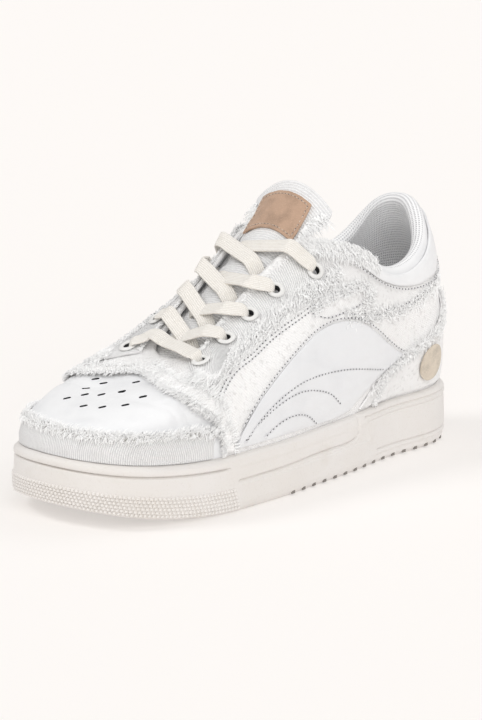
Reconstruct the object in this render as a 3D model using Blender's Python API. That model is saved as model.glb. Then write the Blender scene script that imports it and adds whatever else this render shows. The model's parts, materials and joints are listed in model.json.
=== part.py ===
"""A low court sneaker, left foot, of frayed white denim and leather on a moulded rubber cupsole.

The toe points along -Y, the wearer's outer side is +X, and the sole stands on Z = 0. Sizes are in metres.
"""

import math
from collections import namedtuple

import bmesh
import bpy
import numpy as np
from mathutils import Matrix, Vector

# Driving sizes
SOLE_LENGTH = 0.280
BALL_WIDTH = 0.1085
HEEL_WIDTH = 0.080
COLLAR_HEIGHT = 0.127
SOLE_HEEL_HEIGHT = 0.031
SOLE_BALL_HEIGHT = 0.029
TOE_SPRING = 0.0094
CUP_DEPTH = 0.011
RIM_WIDTH = 0.0039
WALL = 0.0022
COLLAR_PAD = 0.0062
INSOLE_THICKNESS = 0.004
CLEAR = 0.0003
OVERLAY = 0.0011
TREAD_GROOVE = 0.0024
TREAD_DEPTH = 0.0020
TREAD_BORDER = 0.010
EYELET_BORE = 0.00235
EYELET_BARREL = 0.00285
EYELET_FLANGE = 0.0048
LACE_WIDTH = 0.0082
LACE_THICKNESS = 0.0014
LABEL_THICKNESS = 0.0012
DISC_RADIUS = 0.0095
FRAY = 0.0030
SHORT_FRAY = 0.0016
PROUD = 0.0005

# How finely the solids are divided
COLUMNS = 64
WALL_ROWS = 9
LINING_ROWS = 5

# One row for each column of the last that is drawn by hand, from the back of the heel along the outer
# side, round the toe and back along the inner side. along, ball and heel place the sole's edge, as shares
# of the sole's length, the ball's width and the heel's width. top_along, top_side and top_rise place the
# upper's edge above it, as shares of the sole's length, the ball's width and the collar's height. The four
# handles are shares of the collar's height, and shape the curve between the two. pad is the share of the
# collar's padding.
Section = namedtuple(
    "Section",
    "place along ball heel top_along top_side top_rise low_up low_out high_out high_drop pad",
)
LAST = [
    Section("heel back", 0.000, 0.00, 0.00, 0.048, 0.000, 1.000, 0.20, 0.04, 0.06, 0.20, 1.0),
    Section("heel corner outer", 0.033, 0.00, 0.32, 0.070, 0.166, 0.965, 0.20, 0.04, 0.06, 0.20, 1.0),
    Section("heel outer", 0.110, 0.00, 0.48, 0.118, 0.286, 0.850, 0.18, 0.04, 0.06, 0.16, 1.0),
    Section("ankle outer", 0.220, 0.00, 0.50, 0.214, 0.332, 0.775, 0.15, 0.04, 0.06, 0.13, 1.0),
    Section("waist outer", 0.370, 0.43, 0.00, 0.321, 0.318, 0.886, 0.16, 0.03, 0.09, 0.16, 0.6),
    Section("quarter outer", 0.500, 0.47, 0.00, 0.402, 0.240, 0.940, 0.20, 0.03, 0.14, 0.22, 0.1),
    Section("instep outer", 0.575, 0.495, 0.00, 0.452, 0.185, 0.925, 0.24, 0.03, 0.17, 0.22, 0.0),
    Section("ball outer", 0.650, 0.505, 0.00, 0.535, 0.155, 0.812, 0.22, 0.02, 0.20, 0.14, 0.0),
    Section("toe outer", 0.800, 0.50, 0.00, 0.632, 0.142, 0.660, 0.18, 0.01, 0.22, 0.06, 0.0),
    Section("toe corner outer", 0.957, 0.33, 0.00, 0.682, 0.140, 0.578, 0.17, 0.01, 0.36, 0.09, 0.0),
    Section("toe tip", 1.000, -0.03, 0.00, 0.702, 0.000, 0.545, 0.17, 0.01, 0.38, 0.12, 0.0),
    Section("toe corner inner", 0.962, -0.325, 0.00, 0.682, -0.130, 0.570, 0.17, 0.02, 0.31, 0.11, 0.0),
    Section("toe inner", 0.840, -0.47, 0.00, 0.632, -0.145, 0.650, 0.17, 0.01, 0.19, 0.08, 0.0),
    Section("ball inner", 0.690, -0.503, 0.00, 0.535, -0.155, 0.812, 0.22, 0.01, 0.15, 0.15, 0.0),
    Section("instep inner", 0.600, -0.455, 0.00, 0.452, -0.185, 0.925, 0.24, 0.02, 0.13, 0.22, 0.0),
    Section("quarter inner", 0.520, -0.415, 0.00, 0.402, -0.240, 0.940, 0.20, 0.03, 0.14, 0.22, 0.1),
    Section("waist inner", 0.380, -0.38, 0.00, 0.321, -0.318, 0.870, 0.16, 0.03, 0.09, 0.16, 0.6),
    Section("ankle inner", 0.220, 0.00, -0.485, 0.214, -0.326, 0.770, 0.15, 0.04, 0.06, 0.13, 1.0),
    Section("heel inner", 0.110, 0.00, -0.465, 0.116, -0.275, 0.820, 0.18, 0.04, 0.06, 0.16, 1.0),
    Section("heel corner inner", 0.033, 0.00, -0.31, 0.070, -0.160, 0.955, 0.20, 0.04, 0.06, 0.20, 1.0),
]


def clear_scene():
    for old in list(bpy.data.objects):
        bpy.data.objects.remove(old)


def smooth(value, start, end):
    """0 before start, 1 after end, and an even S between them."""
    share = np.clip((value - start) / (end - start), 0.0, 1.0)
    return share * share * (3 - 2 * share)


def window(value, start, end, blend):
    """1 between start and end and 0 outside, over a blend at each side."""
    return smooth(value, start, start + blend) * (1 - smooth(value, end - blend, end))


def spline(knots, rows, closed=False):
    """A smooth curve through the rows at the knots, as a function; closed, its knots are 0 to below 1."""
    knots, rows = np.array(knots, float), np.array(rows, float)
    if closed:
        knots, rows = np.append(knots, knots[0] + 1), np.vstack([rows, rows[:1]])
    last = len(knots) - 1
    gaps, slopes = np.diff(knots), np.diff(rows, axis=0) / np.diff(knots)[:, None]
    matrix, turn = np.eye(last + 1), np.zeros_like(rows)
    for i in range(1, last):
        matrix[i, i - 1 : i + 2] = gaps[i - 1], 2 * (gaps[i - 1] + gaps[i]), gaps[i]
        turn[i] = 6 * (slopes[i] - slopes[i - 1])
    if closed:
        matrix[0, [0, 1, last - 1]] = 2 * (gaps[-1] + gaps[0]), gaps[0], gaps[-1]
        turn[0] = 6 * (slopes[0] - slopes[-1])
        matrix[last, 0] = -1
    bends = np.linalg.solve(matrix, turn)

    def curve(at):
        at = np.asarray(at, float)
        flat = np.mod(at, 1.0).ravel() if closed else np.clip(at.ravel(), knots[0], knots[-1])
        i = np.clip(np.searchsorted(knots, flat, side="right") - 1, 0, last - 1)
        gap, past = gaps[i][:, None], (flat - knots[i])[:, None]
        left = gap - past
        value = (bends[i] * left**3 + bends[i + 1] * past**3) / (6 * gap)
        value += (rows[i] / gap - bends[i] * gap / 6) * left
        value += (rows[i + 1] / gap - bends[i + 1] * gap / 6) * past
        return value.reshape(*at.shape, rows.shape[1])

    return curve


def along_to_y(along):
    return SOLE_LENGTH * (0.5 - along)


def y_to_along(y):
    return 0.5 - y / SOLE_LENGTH


def sole_edge():
    """The sole's outline through the table's rows, and each row's place on it as a share of its length."""
    edge = np.array([[s.ball * BALL_WIDTH + s.heel * HEEL_WIDTH, along_to_y(s.along)] for s in LAST])
    steps = np.linalg.norm(np.roll(edge, -1, axis=0) - edge, axis=1)
    return edge, np.append(0, np.cumsum(steps)[:-1]) / steps.sum()


def last_rows():
    edge, _ = sole_edge()
    rows = []
    for s, (x, y) in zip(LAST, edge):
        top = [s.top_side * BALL_WIDTH, along_to_y(s.top_along), s.top_rise * COLLAR_HEIGHT]
        handles = [h * COLLAR_HEIGHT for h in (s.low_up, s.low_out, s.high_out, s.high_drop)]
        rows.append([x, y, *top, *handles, s.pad])
    return rows


KNOTS = sole_edge()[1]
PLACE = {s.place: k for s, k in zip(LAST, KNOTS)}
LAST_CURVE = spline(KNOTS, last_rows(), closed=True)
EDGE_X, EDGE_Y, TOP_X, TOP_Y, TOP_Z, LOW_UP, LOW_OUT, HIGH_OUT, HIGH_DROP, PAD = range(10)


def lift(along):
    """How far the toe's spring lifts the sole at this share of its length."""
    return TOE_SPRING * np.clip((along - 0.70) / 0.30, 0, 1) ** 2


def rim_height(along):
    """The height of the cup's rim above the floor."""
    level = SOLE_HEEL_HEIGHT + (SOLE_BALL_HEIGHT - SOLE_HEEL_HEIGHT) * smooth(along, 0.10, 0.62)
    return level + 0.52 * lift(along)


def outward(places):
    """The outline's unit normals in plan."""
    step = 1e-4
    places = np.asarray(places, float)
    tangent = LAST_CURVE(places + step)[..., :2] - LAST_CURVE(places - step)[..., :2]
    tangent /= np.linalg.norm(tangent, axis=-1, keepdims=True)
    return np.stack([-tangent[..., 1], tangent[..., 0]], axis=-1)


def ring(places, out, height):
    """Points of the outline moved outwards by out, at a height that follows the sole."""
    flat = LAST_CURVE(places)[..., :2] + outward(places) * np.asarray(out)[..., None]
    z = height(y_to_along(LAST_CURVE(places)[..., EDGE_Y]))
    return np.concatenate([flat, z[..., None]], axis=-1)


def skin(places, heights):
    """The upper's outer surface at places round the outline and shares of the way from rim to edge."""
    places, heights = np.broadcast_arrays(np.asarray(places, float), np.asarray(heights, float))
    data, normal = LAST_CURVE(places), outward(places)
    flat = np.concatenate([normal, np.zeros_like(normal[..., :1])], axis=-1)
    rise = np.array([0.0, 0.0, 1.0])
    foot = ring(places, np.full(places.shape, -RIM_WIDTH - CLEAR), rim_height)
    top = data[..., [TOP_X, TOP_Y, TOP_Z]]
    low = foot + flat * data[..., [LOW_OUT]] + rise * data[..., [LOW_UP]]
    high = top + flat * data[..., [HIGH_OUT]] - rise * data[..., [HIGH_DROP]]
    t = heights[..., None]
    return foot * (1 - t) ** 3 + 3 * low * t * (1 - t) ** 2 + 3 * high * t * t * (1 - t) + top * t**3


def skin_normal(places, heights):
    step = 1e-4
    across = skin(places + step, heights) - skin(places - step, heights)
    upward = skin(places, np.minimum(heights + step, 1)) - skin(places, np.maximum(heights - step, 0))
    normal = np.cross(upward, across)
    return normal / np.linalg.norm(normal, axis=-1, keepdims=True)


def off_skin(places, heights, out):
    """A point out from the upper's surface by a distance."""
    places, heights = np.broadcast_arrays(np.asarray(places, float), np.asarray(heights, float))
    return skin(places, heights) + skin_normal(places, heights) * np.asarray(out)[..., None]


def add_mesh(name, points, faces, sharp=35):
    mesh = bpy.data.meshes.new(name)
    mesh.from_pydata([tuple(p) for p in points], [], [tuple(f) for f in faces])
    shell = bmesh.new()
    shell.from_mesh(mesh)
    bmesh.ops.recalc_face_normals(shell, faces=shell.faces)
    if shell.calc_volume(signed=True) < 0:
        bmesh.ops.reverse_faces(shell, faces=shell.faces)
    shell.to_mesh(mesh)
    shell.free()
    mesh.shade_smooth()
    mesh.set_sharp_from_angle(angle=math.radians(sharp))
    piece = bpy.data.objects.new(name, mesh)
    bpy.context.scene.collection.objects.link(piece)
    return piece


def loft_faces(rings, closed=False):
    """Faces between rings of as many points each; closed also joins the last ring to the first."""
    count = len(rings[0])
    faces = []
    for r in range(len(rings) if closed else len(rings) - 1):
        here, there = r * count, (r + 1) % len(rings) * count
        for i in range(count):
            j = (i + 1) % count
            faces.append((here + i, here + j, there + j, there + i))
    return faces


def ladder(count, first):
    """Faces that close a ring straight across, from one side of the sole to the other."""
    faces = []
    for i in range(count // 2):
        face = (first + i, first + i + 1, first + count - i - 1, first + (count - i) % count)
        faces.append(tuple(dict.fromkeys(face)))
    return faces


def slab(name, outer, inner, sharp=35):
    """A solid between two grids of as many points, closed along the four edges."""
    columns, rows = outer.shape[:2]
    points = np.concatenate([outer.reshape(-1, 3), inner.reshape(-1, 3)])
    under = columns * rows
    faces = []
    for i in range(columns - 1):
        for j in range(rows - 1):
            a, b, c, d = i * rows + j, (i + 1) * rows + j, (i + 1) * rows + j + 1, i * rows + j + 1
            faces += [(a, b, c, d), (under + d, under + c, under + b, under + a)]
    border = [i * rows for i in range(columns)] + [(columns - 1) * rows + j for j in range(1, rows)]
    border += [i * rows + rows - 1 for i in range(columns - 2, -1, -1)] + list(range(rows - 2, 0, -1))
    for a, b in zip(border, border[1:] + border[:1]):
        faces.append((b, a, under + a, under + b))
    return add_mesh(name, points, faces, sharp)


def cup_floor(along):
    return rim_height(along) - CUP_DEPTH


def make_sole():
    """The cup: tread edge, side wall with its steps and bead, rim, and the recess that takes the upper.

    A row is a share of the wall's height, and how far the wall steps in there as a share of the rim's width.
    """
    places = np.arange(COLUMNS) / COLUMNS
    along = y_to_along(LAST_CURVE(places)[:, EDGE_Y])
    heel = 1 - smooth(along, 0.295, 0.315)
    waist = window(along, 0.315, 0.725, 0.02)
    bead = 1 - window(along, 0.315, 0.760, 0.02)
    rows = [
        (0.00, 0.82),
        (0.08, 0.18),
        (0.155, 0.025 + 0.13 * heel),
        (0.18, 0.0),
        (0.47, 0.0),
        (0.50, 0.18 * waist),
        (0.77, 0.075 + 0.10 * waist),
        (0.80, 0.10 + 0.31 * bead),
        (0.83, 0.10),
        (0.93, 0.20),
        (0.985, 0.51),
        (1.00, 1.0),
    ]
    rings = []
    for share, step in rows:
        out = -RIM_WIDTH * step + 0.0 * places
        rings.append(ring(places, out, lambda a: lift(a) + share * (rim_height(a) - lift(a))))
    rings.append(ring(places, -RIM_WIDTH + 0.0 * places, cup_floor))
    faces = loft_faces(rings) + ladder(COLUMNS, 0) + ladder(COLUMNS, (len(rings) - 1) * COLUMNS)
    return add_mesh("cupsole", np.concatenate(rings), faces, sharp=28)


# The tread: where the heel's and the ball's grooves start and how far apart they are, as shares of the
# sole's length
HEEL_TREAD, BALL_TREAD, TREAD_STEP = 0.055, 0.600, 0.03286
HEEL_GROOVES, BALL_GROOVES = 16, 11


def groove(path, width):
    """Points and faces of a cutter that follows a path in plan and the tread's rise at the toe."""
    path = np.array(path, float)
    ahead = np.gradient(path, axis=0)
    side = np.stack([-ahead[:, 1], ahead[:, 0]], axis=1)
    side *= width / 2 / np.linalg.norm(side, axis=1)[:, None]
    points, count = [], len(path)
    for edge in (path + side, path - side):
        for deep in (False, True):
            z = lift(y_to_along(edge[:, 1])) + TREAD_DEPTH if deep else np.full(count, -2 * TREAD_DEPTH)
            points.append(np.column_stack([edge, z]))
    rings = np.stack([points[0], points[1], points[3], points[2]], axis=1)
    faces = []
    for i in range(count - 1):
        for k in range(4):
            faces.append((4 * i + k, 4 * i + (k + 1) % 4, 4 * i + 4 + (k + 1) % 4, 4 * i + 4 + k))
    faces += [(0, 3, 2, 1), tuple(4 * (count - 1) + k for k in range(4))]
    return rings.reshape(-1, 3), faces


def make_tread_cutter():
    """Straight grooves out to the edge under heel and waist, and chevrons inside a border under the ball."""
    points, faces, first = [], [], 0
    edge = LAST_CURVE(np.linspace(0, 1, 400, endpoint=False))[:, :2]
    reach = BALL_WIDTH * 0.8
    step, paths = TREAD_STEP * SOLE_LENGTH, []
    for k in range(HEEL_GROOVES):
        y = along_to_y(HEEL_TREAD) - step * (k + 0.5)
        paths.append([(-reach, y), (0.0, y), (reach, y)])
    for k in range(BALL_GROOVES):
        y, dip = along_to_y(BALL_TREAD) - step * (k + 0.5), 0.435 * step
        near = edge[np.abs(edge[:, 1] - y - dip) < dip]
        left, right = near[:, 0].min() + TREAD_BORDER, near[:, 0].max() - TREAD_BORDER
        middle = (left + right) / 2
        paths.append([(left, y + dip), (middle, y - dip), (right, y + dip)])
    for path in paths:
        here, shape = groove(path, TREAD_GROOVE)
        points.append(here)
        faces += [tuple(first + i for i in face) for face in shape]
        first += len(here)
    return add_mesh("tread_cutter", np.concatenate(points), faces)


def wall_thickness(places, heights):
    pad = np.clip(LAST_CURVE(places)[..., PAD], 0, 1)
    return WALL + COLLAR_PAD * pad * smooth(heights, 0.50, 0.92)


def make_upper():
    places = np.arange(COLUMNS) / COLUMNS
    heights = np.linspace(0, 1, WALL_ROWS + 1)
    outer = [skin(places, t) for t in heights]
    inner = [off_skin(places, t, -wall_thickness(places, t)) for t in np.linspace(1, 0, LINING_ROWS + 1)]
    low = lambda a: cup_floor(a) + CLEAR
    outside, inside = -RIM_WIDTH - CLEAR + 0 * places, -RIM_WIDTH - CLEAR - WALL + 0 * places
    middle, reach = (outer[-1] + inner[0]) / 2, (outer[-1] - inner[0]) / 2
    rise = outer[-1] - outer[-2]
    rise /= np.linalg.norm(rise, axis=1)[:, None]
    radius = np.linalg.norm(reach, axis=1)[:, None]
    roll = [middle + reach * math.cos(turn) + rise * radius * math.sin(turn) for turn in (0.8, 1.57, 2.34)]
    rings = [ring(places, outside, low), *outer, *roll, *inner[:-1]]
    rings += [ring(places, inside, rim_height), ring(places, inside, low)]
    return add_mesh("upper", np.concatenate(rings), loft_faces(rings, closed=True))


def make_insole():
    places = np.arange(COLUMNS) / COLUMNS
    out = -RIM_WIDTH - WALL - 3 * CLEAR
    bed = lambda a: cup_floor(a) + CLEAR
    top = lambda a: cup_floor(a) + CLEAR + INSOLE_THICKNESS
    rings = [ring(places, out + 0 * places, bed), ring(places, out + 0 * places, top)]
    faces = loft_faces(rings) + ladder(COLUMNS, 0) + ladder(COLUMNS, COLUMNS)
    return add_mesh("insole", np.concatenate(rings), faces)


# Cross sections of the tongue from its lower end to its top. back = the crest's place along +Y, as a share
# of the sole's length. side = the crest's shift to the outer side and half = half its width, as shares of the
# ball's width. crest = its height, bow = its fall over a ball's width and thick = its padding, as shares of
# the collar's height.
Bow = namedtuple("Bow", "back crest side half bow thick")
TONGUE = [
    Bow(-0.2286, 0.4843, 0.0000, 0.1290, 1.020, 0.0220),
    Bow(-0.1893, 0.5433, 0.0000, 0.1521, 1.112, 0.0252),
    Bow(-0.1250, 0.6472, 0.0000, 0.1705, 1.344, 0.0299),
    Bow(-0.0357, 0.8000, -0.0028, 0.1622, 1.576, 0.0362),
    Bow(0.0429, 0.9315, -0.0046, 0.1585, 1.854, 0.0441),
    Bow(0.0786, 1.0000, -0.0065, 0.1548, 1.854, 0.0520),
    Bow(0.1071, 1.0567, -0.0120, 0.1751, 1.854, 0.0614),
    Bow(0.1321, 1.1079, -0.0230, 0.2304, 1.761, 0.0693),
    Bow(0.1536, 1.1535, -0.0323, 0.2719, 1.622, 0.0724),
]
TONGUE_BACK = [b.back * SOLE_LENGTH for b in TONGUE]
TONGUE_CURVE = spline(TONGUE_BACK, [
    [b.crest * COLLAR_HEIGHT, b.side * BALL_WIDTH, b.half * BALL_WIDTH, b.bow * COLLAR_HEIGHT / BALL_WIDTH**2,
     b.thick * COLLAR_HEIGHT] for b in TONGUE
])


def tongue_face(back, across):
    """A point of the tongue's upper face at a place along +Y and a distance across from its crest."""
    back, across = np.broadcast_arrays(np.asarray(back, float), np.asarray(across, float))
    crest, side, _, bow, _ = np.moveaxis(TONGUE_CURVE(back), -1, 0)
    return np.stack([side + across, back, crest - bow * across**2], axis=-1)


def tongue_normal(back, across):
    step = 1e-4
    normal = np.cross(
        tongue_face(back, across + step) - tongue_face(back, across - step),
        tongue_face(back + step, across) - tongue_face(back - step, across),
    )
    return normal / np.linalg.norm(normal, axis=-1, keepdims=True)


def make_tongue():
    back = np.linspace(TONGUE_BACK[0], TONGUE_BACK[-1], 13)[:, None]
    share = np.sin(np.linspace(-1, 1, 9) * math.pi / 2)[None, :]
    half, thick = TONGUE_CURVE(back)[..., 2], TONGUE_CURVE(back)[..., 4]
    across = half * share
    outer = tongue_face(back, across)
    edge = 0.35 + 0.65 * np.sqrt(np.clip(1 - share**2, 0, 1))
    end = 0.35 + 0.65 * np.sqrt(np.clip(1 - np.linspace(0, 1, 13)[:, None] ** 12, 0, 1))
    inner = outer - tongue_normal(back, across) * (thick * edge * end)[..., None]
    return slab("tongue", outer, inner, sharp=60)


def make_label():
    back = SOLE_LENGTH * np.linspace(0.0696, 0.1340, 5)[:, None]
    across = BALL_WIDTH * np.linspace(-0.152, 0.152, 9)[None, :]
    base, normal = tongue_face(back, across), tongue_normal(back, across)
    return slab("tongue_label", base + normal * (CLEAR + LABEL_THICKNESS), base + normal * CLEAR)


# The eyelets from toe to ankle: where they stand round the outline on each side, and their share of the
# way up
Eyelet = namedtuple("Eyelet", "outer inner height")
EYELETS = [
    Eyelet(0.429, 0.571, 0.870),
    Eyelet(0.369, 0.630, 0.845),
    Eyelet(0.327, 0.672, 0.860),
    Eyelet(0.299, 0.701, 0.870),
    Eyelet(0.261, 0.738, 0.850),
]


def frame_at(place, height, out):
    """A matrix whose Z leaves the upper along its normal and whose Y points up the wall."""
    origin = off_skin(place, height, out)
    normal = Vector(skin_normal(np.float64(place), np.float64(height)))
    rise = Vector(skin(place, height + 0.01) - skin(place, height - 0.01)).normalized()
    side = rise.cross(normal).normalized()
    turn = Matrix((side, normal.cross(side), normal)).transposed().to_4x4()
    return Matrix.Translation(origin) @ turn


def turned(name, profile, matrix, steps=10):
    """A closed profile of radius and height turned round the Z of a frame."""
    points, faces, count = [], [], len(profile)
    for k in range(steps):
        angle = 2 * math.pi * (k + 0.5) / steps
        for radius, z in profile:
            points.append(matrix @ Vector((radius * math.cos(angle), radius * math.sin(angle), z)))
    for k in range(steps):
        for i in range(count):
            a, b = k * count, (k + 1) % steps * count
            j = (i + 1) % count
            faces.append((a + i, b + i, b + j, a + j))
    return add_mesh(name, points, faces)


def disc_mesh(name, radius, low, high, matrix, steps=10):
    points, faces = [], []
    for z in (low, high):
        for k in range(steps):
            angle = 2 * math.pi * (k + 0.5) / steps
            points.append(matrix @ Vector((radius * math.cos(angle), radius * math.sin(angle), z)))
    faces = [(k, (k + 1) % steps, steps + (k + 1) % steps, steps + k) for k in range(steps)]
    faces += [tuple(range(steps)), tuple(range(steps, 2 * steps))]
    return add_mesh(name, points, faces)


EYELET_SEAT = 4 * CLEAR + OVERLAY


def eyelet_places():
    for k, eyelet in enumerate(EYELETS, 1):
        yield f"eyelet_outer_{k}", eyelet.outer, eyelet.height
        yield f"eyelet_inner_{k}", eyelet.inner, eyelet.height


def make_eyelets():
    end = -(WALL + EYELET_SEAT - CLEAR)
    profile = [
        (EYELET_BORE, end), (EYELET_BORE, 0.13 * EYELET_FLANGE), (0.76 * EYELET_FLANGE, 0.20 * EYELET_FLANGE),
        (EYELET_FLANGE, 0.02 * EYELET_FLANGE), (EYELET_BARREL, 0.0), (EYELET_BARREL, end),
    ]
    return [
        turned(name, profile, frame_at(place, height, EYELET_SEAT)) for name, place, height in eyelet_places()
    ]


# About the way round the upper and the way up it
SPANS = np.array([2.5 * SOLE_LENGTH, 0.7087 * COLLAR_HEIGHT])


def through(points, count):
    """Points spread evenly along a smooth curve through a short list of them."""
    points = np.array(points, float)
    steps = np.linalg.norm(np.diff(points * SPANS, axis=0), axis=1)
    knots = np.append(0, np.cumsum(steps)) / steps.sum()
    return spline(knots, points)(np.linspace(0, 1, count))


def panel(name, lower, upper, columns, rows, ragged=0.0, ragged_low=0.0, out=CLEAR, thick=OVERLAY):
    """A piece laid on the upper between two lines; ragged gives an edge its frayed locks."""
    low, high = through(lower, columns), through(upper, columns)
    locks = np.random.default_rng(len(name) * 7 + columns)
    reach = np.where(np.arange(columns) % 2, locks.uniform(0.3, 1.0, columns), 0.0)[:, None]
    way = (high - low) / np.linalg.norm((high - low) * SPANS, axis=1)[:, None]
    high, low = high + way * reach * ragged, low - way * reach[::-1] * ragged_low
    share = np.linspace(0, 1, rows)[None, :, None]
    grid = low[:, None] * (1 - share) + high[:, None] * share
    outer = off_skin(grid[..., 0], grid[..., 1], np.full(grid.shape[:2], out + thick))
    inner = off_skin(grid[..., 0], grid[..., 1], np.full(grid.shape[:2], out))
    return slab(name, outer, inner, sharp=50)


def round_patch(name, place, height, radius, out, thick, steps=16):
    """A round piece that lies on the upper's curve."""
    per_place = np.linalg.norm(skin(place + 0.001, height) - skin(place - 0.001, height)) / 0.002
    per_height = np.linalg.norm(skin(place, height + 0.01) - skin(place, height - 0.01)) / 0.02
    angle = 2 * math.pi * np.arange(steps) / steps
    rings = []
    for reach, rise in ((0.5, out + thick), (1.0, out + thick), (1.0, out), (0.5, out)):
        q = place + radius * reach * np.cos(angle) / per_place
        t = height + radius * reach * np.sin(angle) / per_height
        rings.append(off_skin(q, t, np.full(steps, rise)))
    points = np.concatenate([*rings, [off_skin(place, height, out + thick)], [off_skin(place, height, out)]])
    top, under, last = 4 * steps, 4 * steps + 1, 3 * steps
    faces = loft_faces(rings)
    faces += [(k, (k + 1) % steps, top) for k in range(steps)]
    faces += [(last + (k + 1) % steps, last + k, under) for k in range(steps)]
    return add_mesh(name, points, faces)


def swap(line):
    """The same line on the other side of the shoe."""
    return [(1 - place, height) for place, height in line]


def across(line):
    """A line that ends at the toe's or heel's middle, carried on along the other side."""
    turn = 2 * line[-1][0]
    return line + [(turn - place, height) for place, height in line[-2::-1]]


# Lines on the upper as places round the outline and shares of the way up
BAND_LOW = [(0.360, 0.030), (0.420, 0.030), (0.500, 0.030), (0.580, 0.030), (0.640, 0.030)]
BAND_HIGH = [(0.362, 0.170), (0.376, 0.205), (0.420, 0.225), (0.479, 0.215), (0.509, 0.225),
             (0.545, 0.235), (0.580, 0.235), (0.625, 0.210), (0.640, 0.170)]
ARC_LOW = [(0.3475, 0.035), (0.3560, 0.190), (0.3690, 0.300), (0.3850, 0.370), (0.4150, 0.510),
           (0.4490, 0.690), (0.5000, 0.875)]
ARC_HIGH = [(0.3380, 0.035), (0.3470, 0.200), (0.3600, 0.330), (0.3770, 0.430), (0.4080, 0.570),
            (0.4440, 0.740), (0.5000, 0.925)]
STAY_LOW = [(0.4330, 0.760), (0.4080, 0.620), (0.3840, 0.610), (0.3680, 0.679), (0.3382, 0.729),
            (0.3116, 0.751), (0.2911, 0.758), (0.2719, 0.767), (0.2450, 0.800), (0.2260, 0.830)]
STAY_HIGH = [(0.4520, 0.950), (0.4250, 0.965), (0.4000, 0.965), (0.3720, 0.965), (0.3430, 0.965),
             (0.3150, 0.965), (0.2930, 0.965), (0.2700, 0.965), (0.2450, 0.960), (0.2230, 0.950)]
SIDE_HIGH = [(0.3300, 0.150), (0.3180, 0.270), (0.3000, 0.380), (0.2800, 0.470), (0.2600, 0.540),
             (0.2350, 0.580), (0.2100, 0.580), (0.1850, 0.550), (0.1600, 0.490), (0.1400, 0.420),
             (0.1250, 0.360)]
SIDE_LOW = [(0.3370, 0.035), (0.3170, 0.035), (0.2960, 0.035), (0.2760, 0.035), (0.2560, 0.035),
            (0.2360, 0.035), (0.2180, 0.035), (0.2010, 0.045), (0.1840, 0.110), (0.1630, 0.210),
            (0.1350, 0.325)]
COLLAR_LOW = [(0.2050, 0.915), (0.1716, 0.865), (0.1380, 0.870), (0.1100, 0.835), (0.0950, 0.800),
              (0.0500, 0.730), (0.0000, 0.700)]
COLLAR_HIGH = [(0.2050, 0.965), (0.1720, 0.965), (0.1400, 0.965), (0.1100, 0.965), (0.0850, 0.965),
               (0.0450, 0.965), (0.0000, 0.965)]
HEEL_LOW = [(0.178, 0.035), (0.100, 0.035), (0.030, 0.035), (0.000, 0.035), (-0.030, 0.035),
            (-0.100, 0.035), (-0.178, 0.035)]
HEEL_HIGH = [(0.166, 0.130), (0.1415, 0.270), (0.0983, 0.385), (0.045, 0.500), (0.000, 0.540),
             (-0.045, 0.500), (-0.0983, 0.385), (-0.1415, 0.270), (-0.166, 0.130)]


def make_overlays():
    inner, heel = PROUD + CLEAR, PROUD + 2 / 3 * CLEAR
    return [
        panel("toe_band", BAND_LOW, BAND_HIGH, 41, 3, ragged=FRAY, out=PROUD),
        panel("vamp_fringe", across(ARC_LOW), across(ARC_HIGH), 53, 2, SHORT_FRAY, FRAY, out=PROUD),
        panel("eyestay_outer", STAY_LOW, STAY_HIGH, 27, 4, ragged_low=FRAY, out=PROUD),
        panel("eyestay_inner", swap(STAY_LOW), swap(STAY_HIGH), 27, 4, ragged_low=FRAY, out=inner),
        panel("side_panel_outer", SIDE_LOW, SIDE_HIGH, 23, 5, out=PROUD),
        panel("side_panel_inner", swap(SIDE_LOW), swap(SIDE_HIGH), 23, 5, out=inner),
        panel("heel_counter", HEEL_LOW, HEEL_HIGH, 35, 4, ragged=FRAY, out=heel),
        panel("collar_band", across(COLLAR_LOW), across(COLLAR_HIGH), 33, 3, out=PROUD),
        round_patch("side_disc", 0.088, 0.215, DISC_RADIUS, heel + OVERLAY + CLEAR, OVERLAY),
    ]


def ribbon(name, path, facing):
    """A flat lace through a path of points, lying square to the facing directions."""
    path, facing = np.array(path, float), np.array(facing, float)
    steps = np.linalg.norm(np.diff(path, axis=0), axis=1)
    knots = np.append(0, np.cumsum(steps)) / steps.sum()
    share = np.linspace(0, 1, 13)
    line, up = spline(knots, path)(share), spline(knots, facing)(share)
    ahead = np.gradient(line, axis=0)
    side = np.cross(ahead, up)
    side *= LACE_WIDTH / 2 / np.linalg.norm(side, axis=1)[:, None]
    up = np.cross(side, ahead)
    up *= LACE_THICKNESS / 2 / np.linalg.norm(up, axis=1)[:, None]
    section = ((-1, -0.8), (1, -0.8), (0.94, 1), (-0.94, 1))
    rings = [np.array([c + s * a + u * b for a, b in section]) for c, s, u in zip(line, side, up)]
    count = len(section)
    last = (len(rings) - 1) * count
    faces = loft_faces(rings) + [tuple(range(count)), tuple(range(last, last + count))]
    return add_mesh(name, np.concatenate(rings), faces)


LACE_SEAT = EYELET_SEAT + 0.2 * EYELET_FLANGE + LACE_THICKNESS / 2 + 2.5 * CLEAR


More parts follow.
